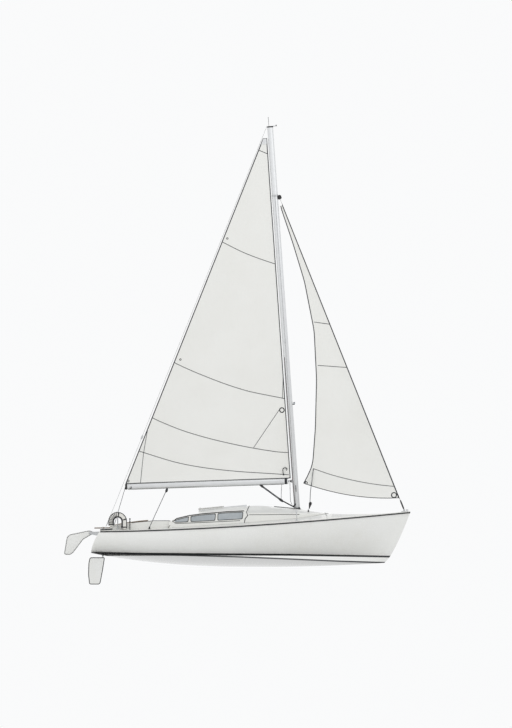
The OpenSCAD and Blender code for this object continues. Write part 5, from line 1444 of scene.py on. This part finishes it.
# across the arch, a rectangle with well-rounded sides
around = circle(1.0, 40)
pad = np.sign(around) * np.abs(around) ** (2 / 3.2) * [buoy["halfThick"], buoy["halfWidth"]]
ends = np.minimum(run, run[-1] - run)
close = np.sqrt(np.clip(1 - (1 - np.clip(ends / 0.030, 0, 1)) ** 2, 0, 1)) * 0.55 + 0.45
seamsAt = np.array([0.125, 0.30, 0.475])
pinch = 1 - 0.055 * np.exp(-((run[:, None] - seamsAt) / 0.009) ** 2).sum(axis=1)
puff = 1 + 0.008 * np.sin(2 * np.pi * run / 0.175)
cover = makeSolids("buoy_cover", [sweepMesh(spine, pad, close * pinch * puff)], buoyCover, 60)
softer = cover.modifiers.new("finish", "SUBSURF")
softer.levels = softer.render_levels = 1
place(cover, "hull", ["horseshoe_buoy"])
tangent = unit(np.gradient(spine, axis=0))
radial = np.cross(tangent, [0, 1.0, 0])
fromLow = spine - [buoy["x"], buoy["y"], buoy["archZ"] - 0.3]
outwards = radial * np.sign((radial * fromLow).sum(axis=-1, keepdims=True))
inner = slice(3, -3)


def alongArch(values, at):
    return np.stack([np.interp(at, run, values[:, i]) for i in range(3)], axis=-1)


# piping on the four seams, four straps round the arch and a lining inside it
pipes, full = [], close * puff
for offY, offR, radius in ((-0.039, -0.049, 0.017), (-0.039, 0.049, 0.008),
                           (0.039, -0.049, 0.008), (0.039, 0.049, 0.008)):
    off = offY * port + offR * outwards[inner]
    pipes.append(sweepMesh(spine[inner] + full[inner, None] * off, circle(radius, 8)))
for middleRun in (0.05, 0.215, 0.39, run[-1] - 0.04):
    near = np.abs(run[:, None] - (middleRun + np.linspace(-0.014, 0.014, 7))).argmin(axis=0)
    part = alongArch(spine, middleRun + np.linspace(-0.013, 0.013, 7))
    pipes.append(sweepMesh(part, pad * 1.02, float(np.mean(full[near]))))
lining = spine - (buoy["halfWidth"] + 0.0005) * outwards
pipes.append(strapAlong(lining[inner], -outwards[inner], 0.056, 0.0045))
build("buoy_straps", pipes, strapWeb, 60, "hull")
aftRun = np.linspace(0.42, run[-1] - 0.03, 420)
wind = 2 * np.pi * 9 * np.linspace(0, 1, 420)
lashing = (alongArch(spine, aftRun) + (0.0505 * np.cos(wind))[:, None] * port
           + (0.0600 * np.sin(wind))[:, None] * alongArch(outwards, aftRun))
build("float_line", [sweepMesh(lashing, circle(0.0056, 8))], strapWeb, 60, "hull")

# Ribbed fender strips round the aft corners of the deck
fenderX = np.linspace(-3.296, -3.035, 150)
ribs = 1 + 0.22 * np.sin(2 * np.pi * (fenderX + 3.3) / 0.020)
fenders = []
for s in (-1, 1):
    y = s * (halfBeam(fenderX) - 0.022)
    z = deckTop(fenderX, np.abs(y)) + 0.011 + 0.012 * smooth((fenderX + 3.3) / 0.26)
    fenders.append(sweepMesh(point(fenderX, y, z), circle(0.0145, 12), ribs))
build("stern_fenders", fenders, strakeRubber, 70, "hull")

# Dark strips on the cabin: painted shade lines on the roof's edge and along the fold ahead of the
# panes, and a line under the panes
sideStrips = (  # fore and aft ends, width, thickness, and height above the deck edge
    # the first two rows are painted shade lines: one on the roof's edge, one along the fold
    (-1.716, -0.150, 0.020, 0.0045, lambda x: edgeZ(x) - 0.004),
    (-0.040, 1.060, 0.010, 0.004, lambda x: edgeZ(x) - 0.002),
    (-1.725, -0.240, 0.012, 0.003, lambda x: sheerZ(x) + mix(0.120, 0.109, (x + 1.725) / 1.485)))
darkStripParts, wingTips = [], []
coamY = coaming["inner"] + coaming["width"] - 0.034


def addDarkStrip(path, normal, width, thick):
    darkStripParts.append(strapAlong(path, np.broadcast_to(normal, path.shape), width, thick))


wingX = np.array(-1.735)
for side in (-1, 1):
    for lowX, highX, width, thick, height in sideStrips:
        x = np.linspace(lowX, highX, 110)
        addDarkStrip(sideAt(x, height(x), side), [0.0, side, 0.15], width, thick)
    # capping on the coaming, and a spray strip across the foredeck by the roof's nose
    x = np.linspace(-2.616, -1.758, 60)
    top = np.interp(x, coamX, coamTop) - 0.001
    addDarkStrip(point(x, side * coamY, top), [0.0, 0.0, 1.0], 0.026, 0.009)
    share = np.linspace(0.03, 0.985, 60)
    x = mix(1.615, 1.690, share)
    y = share * halfBeam(x)
    top = np.maximum(roofZ(x, y), deckTop(x, y))
    addDarkStrip(point(x, side * y, top), [0.05, 0.0, 1.0], 0.016, 0.006)
    # the wing's slanting aft end
    levels = float(deckTop(wingX, baseHalf(wingX))) + 0.001, float(edgeZ(wingX)) - 0.003
    level = np.linspace(*levels, 20)
    reach = 0.070 * (1 - (level - level[0]) / (level[-1] - level[0])) + 0.002
    at = sideAt(np.full(20, wingX), level, side)
    k = np.linspace(0, 1, 8)[:, None, None]
    skinOut = at[None] - k * reach[None, :, None] * np.array([1.0, 0, 0])
    wingTips.append(slabMesh(skinOut, skinOut - [0, side * 0.012, 0]))
    addDarkStrip(skinOut[-1], [-0.3, side, 0.0], 0.012, 0.003)
build("wing_tips", wingTips, plainGelcoat, 50, "hull")
build("cabin_shade_lines_and_trims", darkStripParts, grooveShade, 60, "hull")
print("fittings made")


# Pale floor at the waterline, open where the hull floats in it
stage = {"gap": 0.01, "reach": 60.0, "centreX": 0.1}
around = np.radians(np.linspace(0, 90, 181))
water = hullPoint(np.linspace(0, 1, 240)[:, None], around[None], 1.0)
nearest = np.abs(water[..., 2]).argmin(axis=1)
line = water[np.arange(len(nearest)), nearest]
line = line[np.abs(line[:, 2]) < 0.006]
line = line[np.argsort(line[:, 0])]
rim = np.concatenate([line, line[::-1] * [1, -1, 1]])[:, :2]
rim = rim + stage["gap"] * unit(rim - [stage["centreX"], 0])
angle = np.arctan2(rim[:, 1], rim[:, 0] - stage["centreX"])
farRim = np.stack([np.cos(angle), np.sin(angle)], axis=-1) * stage["reach"] + [stage["centreX"], 0]
spread = np.linspace(0, 1, 12)[:, None, None] ** 2
rings = mix(rim[None], farRim[None], spread)
floorFaces = gridFaces(rings.shape[:2], wrap=True)
flat = point(rings[..., 0], rings[..., 1], 0.0).reshape(-1, 3)
corner = flat[floorFaces]
facing = np.cross(corner[:, 1] - corner[:, 0], corner[:, 2] - corner[:, 0])
floorFaces = np.where(facing[:, 2:] < 0, floorFaces[:, ::-1], floorFaces)
mesh = bpy.data.meshes.new("floor")
mesh.from_pydata(flat.tolist(), [], floorFaces.tolist())
mesh.materials.append(floorPaint)
floor = bpy.data.objects.new("floor", mesh)
scene.collection.objects.link(floor)

# Soft studio light: a pale surround and three broad lamps
studio = {"sky": (0.955, 0.96, 0.965), "skyPower": 1.0, "aim": (0.2, 0, 3.0),
          "lamps": (("key", (6, -12, 12), 9, 150), ("fill", (-10, -10, 5), 8, 30),
                    ("rim", (-3, 11, 12), 8, 110))}
world = bpy.data.worlds.new("surround")
world.use_nodes = True
background = world.node_tree.nodes["Background"].inputs
background[0].default_value, background[1].default_value = (*studio["sky"], 1), studio["skyPower"]
scene.world = world
for name, where, size, power in studio["lamps"]:
    lamp = bpy.data.lights.new(name, "AREA")
    lamp.shape, lamp.size, lamp.energy = "SQUARE", size, power
    holder = bpy.data.objects.new(name, lamp)
    away = unit(np.array(where, float) - studio["aim"])
    holder.rotation_euler = (float(np.arctan2(np.hypot(away[0], away[1]), away[2])), 0,
                             float(np.arctan2(away[0], -away[1])))
    holder.location = where
    scene.collection.objects.link(holder)
scene.view_settings.view_transform = "Standard"
